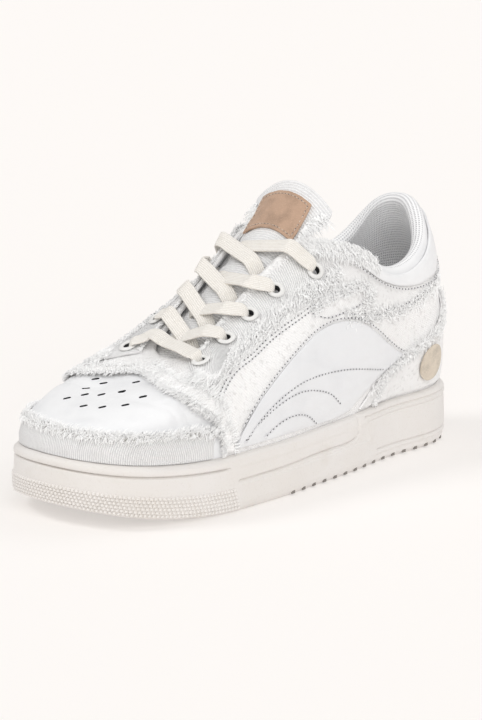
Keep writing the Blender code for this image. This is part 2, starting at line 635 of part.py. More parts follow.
def strand(name, start, finish, over):
    """A strand from beside a lower eyelet's edge, over the tongue, to the top of the next eyelet across."""
    begin = skin(start.place, 0.99)
    rest = 2 * CLEAR + LACE_THICKNESS / 2

    def above(x, y, more=0.0):
        across = x - TONGUE_CURVE(y)[1]
        normal = tongue_normal(np.float64(y), np.float64(across))
        return tongue_face(y, across) + normal * (rest + more), normal

    crossing = (finish.place + 1 - start.place) / 2
    rim = off_skin(crossing, 1.0, LACE_SEAT - 0.57 * LACE_THICKNESS) + [0, 0, 1.86 * LACE_THICKNESS]
    toward = math.copysign(1, begin[0])
    first, facing = above(begin[0] - toward * 1.22 * LACE_WIDTH, begin[1] + 0.45 * LACE_WIDTH)
    path = [(first, facing)]
    for share, more in zip((0.25, 0.44, 0.64, 0.85), LACE_THICKNESS * np.array([0.29, 0.71, 0.86, 1.57])):
        straight = first * (1 - share) + rim * share
        lowest, facing = above(straight[0], straight[1], over)
        path.append((np.array([*straight[:2], max(straight[2] + over, lowest[2]) + more]), facing))
    path += [
        (rim, skin_normal(crossing, np.float64(0.98))),
        (off_skin(finish.place, finish.height + 0.02, LACE_SEAT),
         skin_normal(finish.place, np.float64(finish.height))),
    ]
    return ribbon(name, [point for point, _ in path], [face for _, face in path])


Seat = namedtuple("Seat", "place height")
TIP = 0.5  # the toe tip's place round the outline


def make_laces():
    """The straight bar at the bottom and four crossings, each pair of strands joined where they cross."""
    low = EYELETS[0]
    start, end = (off_skin(place, low.height + 0.02, LACE_SEAT) for place in (low.outer, low.inner))
    crossing = 0.75 * low.inner + 0.25 * TIP
    rim = off_skin(crossing, 1.0, LACE_SEAT - 0.57 * LACE_THICKNESS) + [0, 0, 1.86 * LACE_THICKNESS]
    seats = [(low.outer, low.height), (TIP, 0.97), (TIP, 0.97), (crossing, 0.98), (low.inner, low.height)]
    facing = [skin_normal(np.float64(place), np.float64(height)) for place, height in seats]
    path = [start, start * 2 / 3 + rim / 3, start / 3 + rim * 2 / 3, rim, end]
    pieces = [ribbon("lace_bar", path, facing)]
    helpers = []
    for k in range(4):
        a, b = EYELETS[k], EYELETS[k + 1]
        over = 0.8 * LACE_THICKNESS
        crossing = strand(f"lace_crossing_{k + 1}", Seat(a.outer, a.height), Seat(b.inner, b.height), over)
        under = strand(f"under_strand_{k + 1}", Seat(a.inner, a.height), Seat(b.outer, b.height), 0.0)
        join(crossing, under, "UNION")
        pieces.append(crossing)
        helpers.append(under)
    return pieces, helpers


def join(piece, other, how):
    change = piece.modifiers.new(how.lower(), "BOOLEAN")
    change.operation, change.solver, change.object = how, "EXACT", other


COLOURS = {
    "cupsole": (0.80, 0.77, 0.73), "insole": (0.72, 0.70, 0.66), "upper": (0.82, 0.82, 0.83),
    "tongue": (0.84, 0.84, 0.84), "tongue_label": (0.48, 0.31, 0.20), "lace": (0.86, 0.83, 0.76),
    "eyelet": (0.75, 0.75, 0.74), "toe_band": (0.78, 0.78, 0.78), "side_disc": (0.62, 0.52, 0.42),
}


def paint(piece):
    colour = next((c for key, c in COLOURS.items() if piece.name.startswith(key)), (0.83, 0.83, 0.84))
    material = bpy.data.materials.new(piece.name)
    material.use_nodes = True
    surface = material.node_tree.nodes["Principled BSDF"]
    surface.inputs["Base Color"].default_value = (*colour, 1.0)
    surface.inputs["Roughness"].default_value = 0.7
    piece.data.materials.append(material)


def gather(name, pieces, hidden=False):
    group = bpy.data.collections.new(name)
    bpy.context.scene.collection.children.link(group)
    for piece in pieces:
        for old in list(piece.users_collection):
            old.objects.unlink(piece)
        group.objects.link(piece)
        if hidden:
            piece.hide_render = True
            piece.display_type = "WIRE"


def main():
    clear_scene()
    sole, upper = make_sole(), make_upper()
    overlays, (laces, helpers) = make_overlays(), make_laces()
    pieces = [sole, upper, make_insole(), make_tongue(), make_label()]
    pieces += overlays + laces + make_eyelets()
    tread = make_tread_cutter()
    join(sole, tread, "DIFFERENCE")
    cutters = [tread, *helpers]
    for name, place, height in eyelet_places():
        spot = frame_at(place, height, 0.0)
        cut = name.replace("eyelet", "hole")
        hole = disc_mesh(cut, EYELET_BARREL + CLEAR, -2 * EYELET_FLANGE, EYELET_FLANGE, spot)
        cutters.append(hole)
        join(upper, hole, "DIFFERENCE")
        join(overlays[2] if "outer" in name else overlays[3], hole, "DIFFERENCE")
    for piece in pieces:
        paint(piece)
    gather("sneaker", pieces)
    gather("cutters", cutters, hidden=True)


main()
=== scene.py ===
"""The looks of a low court sneaker, left foot: white leather, frayed denim, cream laces, moulded cupsole."""

import math
from collections import namedtuple

import bmesh
import bpy
import numpy as np
from mathutils import Matrix, Vector
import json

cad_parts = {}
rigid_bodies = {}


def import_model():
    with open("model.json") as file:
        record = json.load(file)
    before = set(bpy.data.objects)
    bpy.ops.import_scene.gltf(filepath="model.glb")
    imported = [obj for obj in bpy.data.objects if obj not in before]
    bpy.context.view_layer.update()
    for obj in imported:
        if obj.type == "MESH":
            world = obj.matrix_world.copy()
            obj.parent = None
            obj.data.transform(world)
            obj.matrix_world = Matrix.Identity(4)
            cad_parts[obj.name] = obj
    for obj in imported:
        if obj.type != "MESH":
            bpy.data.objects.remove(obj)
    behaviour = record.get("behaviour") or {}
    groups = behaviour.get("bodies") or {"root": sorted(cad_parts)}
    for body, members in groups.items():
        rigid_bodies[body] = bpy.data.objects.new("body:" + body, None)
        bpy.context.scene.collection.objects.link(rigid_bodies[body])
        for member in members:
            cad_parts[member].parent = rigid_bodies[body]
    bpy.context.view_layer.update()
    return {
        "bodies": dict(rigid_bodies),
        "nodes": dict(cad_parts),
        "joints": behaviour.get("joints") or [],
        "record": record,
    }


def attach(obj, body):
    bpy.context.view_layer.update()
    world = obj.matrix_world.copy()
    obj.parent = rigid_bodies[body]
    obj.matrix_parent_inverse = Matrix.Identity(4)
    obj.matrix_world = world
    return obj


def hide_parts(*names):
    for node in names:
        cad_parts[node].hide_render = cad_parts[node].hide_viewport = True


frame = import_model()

# Driving sizes
SOLE_LENGTH = 0.280
BALL_WIDTH = 0.1085
HEEL_WIDTH = 0.080
COLLAR_HEIGHT = 0.127
SOLE_HEEL_HEIGHT = 0.031
SOLE_BALL_HEIGHT = 0.029
TOE_SPRING = 0.0094
CUP_DEPTH = 0.011
RIM_WIDTH = 0.0039
WALL = 0.0022
COLLAR_PAD = 0.0062
INSOLE_THICKNESS = 0.004
CLEAR = 0.0003
OVERLAY = 0.0011
TREAD_GROOVE = 0.0024
TREAD_DEPTH = 0.0020
TREAD_BORDER = 0.010
EYELET_BORE = 0.00235
EYELET_BARREL = 0.00285
EYELET_FLANGE = 0.0048
LACE_WIDTH = 0.0082
LACE_THICKNESS = 0.0014
LABEL_THICKNESS = 0.0012
DISC_RADIUS = 0.0095
PROUD = 0.0005

# Sections of the last, from the back of the heel along the outer side, round the toe and back along the
# inner side. along, ball and heel place the sole's edge, as shares of the sole's length, the ball's width and
# the heel's width. top_along, top_side and top_rise place the upper's edge above it, as shares of the sole's
# length, the ball's width and the collar's height. The four handles are shares of the collar's height, and
# shape the curve between the two. pad is the share of the collar's padding.
Section = namedtuple(
    "Section", "along ball heel top_along top_side top_rise low_up low_out high_out high_drop pad")
LAST = [Section(*row) for row in (
    (0.0, 0.0, 0.0, 0.048, 0.0, 1.0, 0.2, 0.04, 0.06, 0.2, 1.0),  # heel back
    (0.033, 0.0, 0.32, 0.07, 0.166, 0.965, 0.2, 0.04, 0.06, 0.2, 1.0),  # heel corner outer
    (0.11, 0.0, 0.48, 0.118, 0.286, 0.85, 0.18, 0.04, 0.06, 0.16, 1.0),  # heel outer
    (0.22, 0.0, 0.5, 0.214, 0.332, 0.775, 0.15, 0.04, 0.06, 0.13, 1.0),  # ankle outer
    (0.37, 0.43, 0.0, 0.321, 0.318, 0.886, 0.16, 0.03, 0.09, 0.16, 0.6),  # waist outer
    (0.5, 0.47, 0.0, 0.402, 0.24, 0.94, 0.2, 0.03, 0.14, 0.22, 0.1),  # quarter outer
    (0.575, 0.495, 0.0, 0.452, 0.185, 0.925, 0.24, 0.03, 0.17, 0.22, 0.0),  # instep outer
    (0.65, 0.505, 0.0, 0.535, 0.155, 0.812, 0.22, 0.02, 0.2, 0.14, 0.0),  # ball outer
    (0.8, 0.5, 0.0, 0.632, 0.142, 0.66, 0.18, 0.01, 0.22, 0.06, 0.0),  # toe outer
    (0.957, 0.33, 0.0, 0.682, 0.14, 0.578, 0.17, 0.01, 0.36, 0.09, 0.0),  # toe corner outer
    (1.0, -0.03, 0.0, 0.702, 0.0, 0.545, 0.17, 0.01, 0.38, 0.12, 0.0),  # toe tip
    (0.962, -0.325, 0.0, 0.682, -0.13, 0.57, 0.17, 0.02, 0.31, 0.11, 0.0),  # toe corner inner
    (0.84, -0.47, 0.0, 0.632, -0.145, 0.65, 0.17, 0.01, 0.19, 0.08, 0.0),  # toe inner
    (0.69, -0.503, 0.0, 0.535, -0.155, 0.812, 0.22, 0.01, 0.15, 0.15, 0.0),  # ball inner
    (0.6, -0.455, 0.0, 0.452, -0.185, 0.925, 0.24, 0.02, 0.13, 0.22, 0.0),  # instep inner
    (0.52, -0.415, 0.0, 0.402, -0.24, 0.94, 0.2, 0.03, 0.14, 0.22, 0.1),  # quarter inner
    (0.38, -0.38, 0.0, 0.321, -0.318, 0.87, 0.16, 0.03, 0.09, 0.16, 0.6),  # waist inner
    (0.22, 0.0, -0.485, 0.214, -0.326, 0.77, 0.15, 0.04, 0.06, 0.13, 1.0),  # ankle inner
    (0.11, 0.0, -0.465, 0.116, -0.275, 0.82, 0.18, 0.04, 0.06, 0.16, 1.0),  # heel inner
    (0.033, 0.0, -0.31, 0.07, -0.16, 0.955, 0.2, 0.04, 0.06, 0.2, 1.0),  # heel corner inner
)]


def smooth(value, start, end):
    """0 before start, 1 after end, and an even S between them."""
    share = np.clip((value - start) / (end - start), 0.0, 1.0)
    return share * share * (3 - 2 * share)


def window(value, start, end, blend):
    """1 between start and end and 0 outside, over a blend at each side."""
    return smooth(value, start, start + blend) * (1 - smooth(value, end - blend, end))


def spline(knots, rows, closed=False):
    """A smooth curve through the rows at the knots, as a function; closed, its knots are 0 to below 1."""
    knots, rows = np.array(knots, float), np.array(rows, float)
    if closed:
        knots, rows = np.append(knots, knots[0] + 1), np.vstack([rows, rows[:1]])
    last = len(knots) - 1
    gaps, slopes = np.diff(knots), np.diff(rows, axis=0) / np.diff(knots)[:, None]
    matrix, turn = np.eye(last + 1), np.zeros_like(rows)
    for i in range(1, last):
        matrix[i, i - 1 : i + 2] = gaps[i - 1], 2 * (gaps[i - 1] + gaps[i]), gaps[i]
        turn[i] = 6 * (slopes[i] - slopes[i - 1])
    if closed:
        matrix[0, [0, 1, last - 1]] = 2 * (gaps[-1] + gaps[0]), gaps[0], gaps[-1]
        turn[0] = 6 * (slopes[0] - slopes[-1])
        matrix[last, 0] = -1
    bends = np.linalg.solve(matrix, turn)

    def curve(at):
        at = np.asarray(at, float)
        flat = np.mod(at, 1.0).ravel() if closed else np.clip(at.ravel(), knots[0], knots[-1])
        i = np.clip(np.searchsorted(knots, flat, side="right") - 1, 0, last - 1)
        gap, past = gaps[i][:, None], (flat - knots[i])[:, None]
        left = gap - past
        value = (bends[i] * left**3 + bends[i + 1] * past**3) / (6 * gap)
        value += (rows[i] / gap - bends[i] * gap / 6) * left
        value += (rows[i + 1] / gap - bends[i + 1] * gap / 6) * past
        return value.reshape(*at.shape, rows.shape[1])

    return curve


def along_to_y(along):
    return SOLE_LENGTH * (0.5 - along)


def y_to_along(y):
    return 0.5 - y / SOLE_LENGTH


def sole_edge():
    """The sole's outline through the table's rows, and each row's place on it as a share of its length."""
    edge = np.array([[s.ball * BALL_WIDTH + s.heel * HEEL_WIDTH, along_to_y(s.along)] for s in LAST])
    steps = np.linalg.norm(np.roll(edge, -1, axis=0) - edge, axis=1)
    return edge, np.append(0, np.cumsum(steps)[:-1]) / steps.sum()


def last_rows():
    rows = []
    for s, (x, y) in zip(LAST, sole_edge()[0]):
        top = [s.top_side * BALL_WIDTH, along_to_y(s.top_along), s.top_rise * COLLAR_HEIGHT]
        handles = [h * COLLAR_HEIGHT for h in (s.low_up, s.low_out, s.high_out, s.high_drop)]
        rows.append([x, y, *top, *handles, s.pad])
    return rows


LAST_CURVE = spline(sole_edge()[1], last_rows(), closed=True)
EDGE_Y, TOP_X, TOP_Y, TOP_Z, LOW_UP, LOW_OUT, HIGH_OUT, HIGH_DROP, PAD = range(1, 10)
STEP = 1e-4  # a short way round the outline or up the wall, to measure slopes by


def unit(vectors):
    return vectors / np.linalg.norm(vectors, axis=-1, keepdims=True)


def lift(along):
    """How far the toe's spring lifts the sole at this share of its length."""
    return TOE_SPRING * np.clip((along - 0.70) / 0.30, 0, 1) ** 2


def rim_height(along):
    """The height of the cup's rim above the floor."""
    level = SOLE_HEEL_HEIGHT + (SOLE_BALL_HEIGHT - SOLE_HEEL_HEIGHT) * smooth(along, 0.10, 0.62)
    return level + 0.52 * lift(along)


def outward(places):
    """The outline's unit normals in plan."""
    places = np.asarray(places, float)
    tangent = unit(LAST_CURVE(places + STEP)[..., :2] - LAST_CURVE(places - STEP)[..., :2])
    return np.stack([-tangent[..., 1], tangent[..., 0]], axis=-1)


def ring(places, out, height):
    """Points of the outline moved outwards by out, at a height that follows the sole."""
    flat = LAST_CURVE(places)[..., :2] + outward(places) * np.asarray(out)[..., None]
    z = height(y_to_along(LAST_CURVE(places)[..., EDGE_Y]))
    return np.concatenate([flat, z[..., None]], axis=-1)


def skin(places, heights):
    """The upper's outer surface at places round the outline and shares of the way from rim to edge."""
    places, heights = np.broadcast_arrays(np.asarray(places, float), np.asarray(heights, float))
    data, normal = LAST_CURVE(places), outward(places)
    flat = np.concatenate([normal, np.zeros_like(normal[..., :1])], axis=-1)
    rise = np.array([0.0, 0.0, 1.0])
    foot = ring(places, -RIM_WIDTH - CLEAR, rim_height)
    top = data[..., [TOP_X, TOP_Y, TOP_Z]]
    low = foot + flat * data[..., [LOW_OUT]] + rise * data[..., [LOW_UP]]
    high = top + flat * data[..., [HIGH_OUT]] - rise * data[..., [HIGH_DROP]]
    t = heights[..., None]
    return foot * (1 - t) ** 3 + 3 * low * t * (1 - t) ** 2 + 3 * high * t * t * (1 - t) + top * t**3


def skin_normal(places, heights):
    places, heights = np.asarray(places, float), np.asarray(heights, float)
    around = skin(places + STEP, heights) - skin(places - STEP, heights)
    upward = skin(places, np.minimum(heights + STEP, 1)) - skin(places, np.maximum(heights - STEP, 0))
    return unit(np.cross(upward, around))


def off_skin(places, heights, out):
    """A point out from the upper's surface by a distance."""
    places, heights = np.broadcast_arrays(np.asarray(places, float), np.asarray(heights, float))
    return skin(places, heights) + skin_normal(places, heights) * np.asarray(out)[..., None]


def cup_floor(along):
    return rim_height(along) - CUP_DEPTH


# The tread: where the heel's and the ball's grooves start and how far apart they are, as shares of the
# sole's length
HEEL_TREAD, BALL_TREAD, TREAD_STEP = 0.055, 0.600, 0.03286
HEEL_GROOVES, BALL_GROOVES = 16, 11


def wall_thickness(places, heights):
    pad = np.clip(LAST_CURVE(places)[..., PAD], 0, 1)
    return WALL + COLLAR_PAD * pad * smooth(heights, 0.50, 0.92)


# Cross sections of the tongue from its lower end to its top. back = the crest's place along +Y, as a share
# of the sole's length. side = the crest's shift to the outer side and half = half its width, as shares of the
# ball's width. crest = its height, bow = its fall over a ball's width and thick = its padding, as shares of
# the collar's height.
Bow = namedtuple("Bow", "back crest side half bow thick")
TONGUE = [
    Bow(-0.2286, 0.4843, 0.0, 0.129, 1.02, 0.022),
    Bow(-0.1893, 0.5433, 0.0, 0.1521, 1.112, 0.0252),
    Bow(-0.125, 0.6472, 0.0, 0.1705, 1.344, 0.0299),
    Bow(-0.0357, 0.8, -0.0028, 0.1622, 1.576, 0.0362),
    Bow(0.0429, 0.9315, -0.0046, 0.1585, 1.854, 0.0441),
    Bow(0.0786, 1.0, -0.0065, 0.1548, 1.854, 0.052),
    Bow(0.1071, 1.0567, -0.012, 0.1751, 1.854, 0.0614),
    Bow(0.1321, 1.1079, -0.023, 0.2304, 1.761, 0.0693),
    Bow(0.1536, 1.1535, -0.0323, 0.2719, 1.622, 0.0724),
]
TONGUE_BACK = [b.back * SOLE_LENGTH for b in TONGUE]
TONGUE_CURVE = spline(TONGUE_BACK, [
    [b.crest * COLLAR_HEIGHT, b.side * BALL_WIDTH, b.half * BALL_WIDTH, b.bow * COLLAR_HEIGHT / BALL_WIDTH**2,
     b.thick * COLLAR_HEIGHT] for b in TONGUE
])


def tongue_face(back, across):
    """A point of the tongue's upper face at a place along +Y and a distance across from its crest."""
    back, across = np.broadcast_arrays(np.asarray(back, float), np.asarray(across, float))
    crest, side, _, bow, _ = np.moveaxis(TONGUE_CURVE(back), -1, 0)
    return np.stack([side + across, back, crest - bow * across**2], axis=-1)


def tongue_normal(back, across):
    back, across = np.asarray(back, float), np.asarray(across, float)
    return unit(np.cross(
        tongue_face(back, across + STEP) - tongue_face(back, across - STEP),
        tongue_face(back + STEP, across) - tongue_face(back - STEP, across),
    ))


# The eyelets from toe to ankle: where they stand round the outline on each side, and their share of the
# way up
Eyelet = namedtuple("Eyelet", "outer inner height")
EYELETS = [
    Eyelet(0.429, 0.571, 0.870),
    Eyelet(0.369, 0.630, 0.845),
    Eyelet(0.327, 0.672, 0.860),
    Eyelet(0.299, 0.701, 0.870),
    Eyelet(0.261, 0.738, 0.850),
]


def frame_of(origin, x, z):
    """A matrix at a point whose Z is z and whose X is as near to x as it can be."""
    x, z = Vector(x), Vector(z).normalized()
    y = z.cross(x).normalized()
    return Matrix.Translation(origin) @ Matrix((y.cross(z), y, z)).transposed().to_4x4()


def frame_at(place, height, out):
    """A matrix whose Z leaves the upper along its normal and whose Y points up the wall."""
    normal = skin_normal(place, height)
    rise = skin(place, height + 0.01) - skin(place, height - 0.01)
    return frame_of(off_skin(place, height, out), np.cross(rise, normal), normal)


def swap(line):
    """The same line on the other side of the shoe."""
    return [(1 - place, height) for place, height in line]


def across(line):
    """A line that ends at the toe's or heel's middle, carried on along the other side."""
    turn = 2 * line[-1][0]
    return line + [(turn - place, height) for place, height in line[-2::-1]]


# Lines on the upper as places round the outline and shares of the way up
BAND_LOW = [(place, 0.006) for place in (0.36, 0.42, 0.5, 0.58, 0.64)]
BAND_HIGH = [(0.362, 0.17), (0.376, 0.205), (0.42, 0.225), (0.479, 0.215), (0.509, 0.225), (0.545, 0.235),
             (0.58, 0.235), (0.625, 0.21), (0.64, 0.17)]
ARC_LOW = [(0.3475, 0.035), (0.356, 0.19), (0.369, 0.3), (0.385, 0.37), (0.415, 0.51), (0.449, 0.69),
           (0.5, 0.875)]
ARC_HIGH = [(0.338, 0.035), (0.347, 0.2), (0.36, 0.33), (0.377, 0.43), (0.408, 0.57), (0.444, 0.74),
            (0.5, 0.925)]
STAY_LOW = [(0.433, 0.76), (0.408, 0.62), (0.384, 0.61), (0.368, 0.679), (0.3382, 0.729), (0.3116, 0.751),
            (0.2911, 0.758), (0.2719, 0.767), (0.245, 0.8), (0.226, 0.83)]
STAY_HIGH = [(0.452, 0.95), (0.425, 0.965), (0.4, 0.965), (0.372, 0.965), (0.343, 0.965), (0.315, 0.965),
             (0.293, 0.965), (0.27, 0.965), (0.245, 0.96), (0.223, 0.95)]
SIDE_HIGH = [(0.33, 0.15), (0.318, 0.27), (0.3, 0.38), (0.28, 0.47), (0.26, 0.54), (0.235, 0.58),
             (0.21, 0.58), (0.185, 0.55), (0.16, 0.49), (0.14, 0.42), (0.125, 0.36)]
SIDE_LOW = [(0.337, 0.035), (0.317, 0.035), (0.296, 0.035), (0.276, 0.035), (0.256, 0.035), (0.236, 0.035),
            (0.218, 0.035), (0.201, 0.045), (0.184, 0.11), (0.163, 0.21), (0.135, 0.325)]
COLLAR_LOW = [(0.205, 0.915), (0.1716, 0.865), (0.138, 0.87), (0.11, 0.835), (0.095, 0.8), (0.05, 0.73),
              (0.0, 0.7)]
COLLAR_HIGH = [(place, 0.965) for place in (0.205, 0.172, 0.14, 0.11, 0.085, 0.045, 0.0)]
HEEL_LOW = [(place, 0.035) for place in (0.178, 0.1, 0.03, 0.0, -0.03, -0.1, -0.178)]
HEEL_HIGH = across([(0.166, 0.13), (0.1415, 0.27), (0.0983, 0.385), (0.045, 0.5), (0.0, 0.54)])
STAY_SEAM = [(0.3576, 0.329), (0.37, 0.43), (0.3669, 0.534), (0.3359, 0.606), (0.3128, 0.645),
             (0.2861, 0.66), (0.2694, 0.68), (0.2311, 0.726), (0.2057, 0.772)]
ISLAND = [(0.266, 0.64), (0.252, 0.695), (0.22, 0.735), (0.19, 0.765), (0.178, 0.735), (0.195, 0.67),
          (0.225, 0.625), (0.25, 0.615)]
QUARTER_SEAM = [(0.22, 0.6), (0.19, 0.6), (0.16, 0.64), (0.13, 0.68), (0.0985, 0.7), (0.05, 0.66),
                (0.0, 0.64)]
HEEL_SEAM = [(0.159, 0.035), (0.153, 0.12), (0.148, 0.2), (0.133, 0.285), (0.11, 0.35), (0.078, 0.4),
             (0.04, 0.45), (0.0, 0.47)]
PANEL_SEAMS = [
    [(0.329, 0.06), (0.315, 0.15), (0.295, 0.215), (0.27, 0.25), (0.245, 0.245), (0.225, 0.205),
     (0.21, 0.13)],
    [(0.327, 0.06), (0.31, 0.185), (0.285, 0.27), (0.255, 0.32), (0.22, 0.335), (0.185, 0.315),
     (0.155, 0.29)],
    [(0.306, 0.055), (0.29, 0.11), (0.27, 0.13), (0.252, 0.105), (0.24, 0.05)],
]
COLLAR_EDGE = [(0.264, 0.96), (0.248, 0.965), (0.23, 0.96), (0.21, 0.95), (0.188, 0.95), (0.168, 0.955)]
COLLAR_RIM = [(0.26, 0.99), (0.24, 0.992), (0.22, 0.992), (0.2, 0.992), (0.18, 0.992), (0.162, 0.99)]
TOE_SLOTS = [(0.5385, 0.812), (0.5362, 0.721), (0.523, 0.733), (0.4937, 0.805), (0.529, 0.651),
             (0.4918, 0.708), (0.506, 0.654), (0.5195, 0.611), (0.5278, 0.526), (0.4656, 0.655),
             (0.5036, 0.516), (0.4871, 0.535), (0.4705, 0.565)]
SLOT_LEAN = 0.80  # the way the slots point in plan, in radians
# Creases across the vamp and round the ankle: a line of places, then its depth and half width in metres
CREASES = [
    ([(0.405, 0.3), (0.43, 0.47), (0.462, 0.6), (0.49, 0.69)], 0.0007, 0.0016),
    ([(0.392, 0.27), (0.412, 0.43), (0.44, 0.57)], 0.0006, 0.0014),
    ([(0.6, 0.33), (0.575, 0.48), (0.545, 0.62), (0.515, 0.7)], 0.0007, 0.0016),
    ([(0.612, 0.27), (0.59, 0.42), (0.562, 0.56)], 0.0005, 0.0014),
    ([(0.47, 0.36), (0.492, 0.43), (0.52, 0.4)], 0.0003, 0.002),
    ([(0.235, 0.62), (0.205, 0.68), (0.175, 0.78)], 0.0006, 0.0022),
    ([(0.765, 0.62), (0.795, 0.68), (0.825, 0.78)], 0.0006, 0.0022),
    ([(0.06, 0.5), (0.04, 0.58), (0.015, 0.62)], 0.0005, 0.0026),
]
# Lines pressed into the sole's wall: places and shares of the wall's height, then depth and half width
SOLE_LINES = [
    ([(0.348, 0.8), (0.4, 0.805), (0.46, 0.8), (0.5, 0.8), (0.54, 0.8), (0.6, 0.8), (0.655, 0.8)],
     0.0012, 0.0005),
    ([(0.3363, 0.548), (0.3101, 0.548), (0.2633, 0.566), (0.2124, 0.573), (0.196, 0.575), (0.188, 0.61),
      (0.1845, 0.68), (0.1838, 0.8), (0.1838, 0.99)], 0.0013, 0.00055),
    ([(0.174, 0.9), (0.1287, 0.895), (0.0972, 0.895), (0.05, 0.895), (0.0, 0.895)], 0.0011, 0.0005),
    ([(0.1561, 0.25), (0.1165, 0.24), (0.0968, 0.24), (0.05, 0.24), (0.0, 0.24)], 0.0011, 0.0005),
]

CHANCE = np.random.default_rng(7)


# Materials: each is a Principled surface with its own colour, roughness and relief
class Surface:
    """A material being put together: node() adds one, link() joins two sockets."""

    def __init__(self, name, colour, rough, slot):
        self.material = bpy.data.materials.new(name)
        self.material.use_nodes = True
        self.tree = self.material.node_tree
        self.shader = self.tree.nodes["Principled BSDF"]
        self.put("Base Color", (*colour, 1))
        self.put("Roughness", rough)
        self.slot = slot

    def put(self, socket, value):
        self.shader.inputs[socket].default_value = value

    def node(self, kind, inputs=(), **values):
        node = self.tree.nodes.new(kind)
        for key, value in values.items():
            setattr(node, key, value)
        for key, value in dict(inputs).items():
            node.inputs[key].default_value = value
        return node

    def link(self, source, target):
        self.tree.links.new(source, target)

    def where(self, cloth=False, turn=0.0):
        """Object places in metres, or the piece's own cloth map, turned."""
        mapping = self.node("ShaderNodeMapping", {"Rotation": (0, 0, turn)})
        place = self.node("ShaderNodeTexCoord").outputs["UV" if cloth else "Object"]
        self.link(place, mapping.inputs["Vector"])
        return mapping.outputs["Vector"]

    def noise(self, scale, detail):
        node = self.node("ShaderNodeTexNoise", {"Scale": scale, "Detail": detail})
        self.link(self.where(), node.inputs["Vector"])
        return node.outputs["Fac"]

    def cells(self, scale):
        """The distance from the edges of small irregular cells."""
        node = self.node("ShaderNodeTexVoronoi", {"Scale": scale}, feature="DISTANCE_TO_EDGE")
        self.link(self.where(), node.inputs["Vector"])
        return node.outputs["Distance"]

    def ribs(self, pitch, where, direction="X", wobble=0.0):
        """Waves pitch metres apart across the cloth map."""
        values = {"Scale": 2 * math.pi / (20 * pitch), "Distortion": wobble, "Detail": 1, "Detail Scale": 3}
        node = self.node("ShaderNodeTexWave", values, bands_direction=direction)
        self.link(where, node.inputs["Vector"])
        return node.outputs["Fac"]

    def ramp(self, source, low, high, start=0.0, end=1.0):
        values = {"From Min": low, "From Max": high, "To Min": start, "To Max": end}
        node = self.node("ShaderNodeMapRange", values)
        self.link(source, node.inputs["Value"])
        return node.outputs["Result"]

    def product(self, a, b):
        node = self.node("ShaderNodeMath", operation="MULTIPLY")
        self.link(a, node.inputs[0])
        if isinstance(b, float):
            node.inputs[1].default_value = b
        else:
            self.link(b, node.inputs[1])
        return node.outputs["Value"]

    def tint(self, mask, colour, strength):
        """Mixes a colour over what is there, where the mask is 1."""
        mix = self.node("ShaderNodeMix", data_type="RGBA")
        base = self.shader.inputs["Base Color"]
        if base.links:
            self.link(base.links[0].from_socket, mix.inputs[6])
        else:
            mix.inputs[6].default_value = base.default_value
        mix.inputs[7].default_value = (*colour, 1)
        self.link(self.product(mask, strength), mix.inputs[0])
        self.link(mix.outputs[2], base)

    def relief(self, height, depth):
        """Raises the surface by depth metres where height is 1."""
        bump = self.node("ShaderNodeBump", {"Distance": depth, "Strength": 1.0})
        target = self.shader.inputs["Normal"]
        if target.links:
            self.link(target.links[0].from_socket, bump.inputs["Normal"])
        self.link(height, bump.inputs["Height"])
        self.link(bump.outputs["Normal"], target)

    def mottle(self, scale, detail, low, high, colour, strength):
        """Blotches of a colour, where noise rises from low to high."""
        self.tint(self.ramp(self.noise(scale, detail), low, high), colour, strength)

    def grain(self, scale, detail, depth):
        self.relief(self.noise(scale, detail), depth)

    def gloss(self, scale, smoothest, roughest):
        """Lets the roughness wander between two values."""
        rough = self.ramp(self.noise(scale, 4), 0.3, 0.8, smoothest, roughest)
        self.link(rough, self.shader.inputs["Roughness"])

    def sheen(self, weight):
        self.put("Sheen Weight", weight)
        self.put("Sheen Roughness", 0.4)


def scaled(colour, by):
    return tuple(min(1, c * by) for c in colour)


def leather(name, colour, slot, rough=0.48):
    s = Surface(name, colour, rough, slot)
    s.mottle(38, 4, 0.50, 0.78, (0.62, 0.63, 0.66), 0.35)
    s.relief(s.ramp(s.cells(1150), 0.0, 0.35), 0.00006)
    s.grain(170, 5, 0.00022)
    s.grain(34, 3, 0.00060)
    s.gloss(90, rough - 0.08, rough + 0.16)
    s.put("Specular IOR Level", 0.45)
    return s


def ribbed(name, colour, slot, pitch, direction="X", line=(0.42, 0.42, 0.44)):
    """White denim whose ribs run up the shoe, greyer in the grooves between them: painted shade."""
    s = Surface(name, colour, 0.86, slot)
    rib = s.ribs(pitch, s.where(cloth=True), direction, 0.5)
    # Grey where the ribs sink: painted shade in their grooves
    s.tint(s.ramp(rib, 0.45, 0.10), line, 0.45)
    s.mottle(60, 4, 0.52, 0.75, (0.82, 0.81, 0.80), 0.40)
    s.mottle(1500, 2, 0.54, 0.75, (0.68, 0.67, 0.67), 0.30)
    s.relief(rib, 0.00040)
    s.grain(1700, 3, 0.00016)
    s.sheen(0.25)
    return s


def fluffy(name, colour, slot):
    """Washed denim with its nap raised: twill under loose fibres."""
    s = Surface(name, colour, 0.9, slot)
    twill = s.ribs(0.0011, s.where(cloth=True, turn=math.radians(56)), "X", 2.0)
    # Grey where the twill sinks: painted shade in its hollows
    s.tint(s.ramp(twill, 0.30, 0.0), (0.70, 0.69, 0.69), 0.25)
    s.mottle(420, 5, 0.56, 0.70, (0.62, 0.60, 0.59), 0.50)
    s.mottle(90, 4, 0.56, 0.72, (0.86, 0.85, 0.84), 0.40)
    s.relief(twill, 0.00018)
    s.grain(620, 5, 0.00034)
    s.grain(150, 4, 0.00045)
    s.sheen(0.3)
    return s


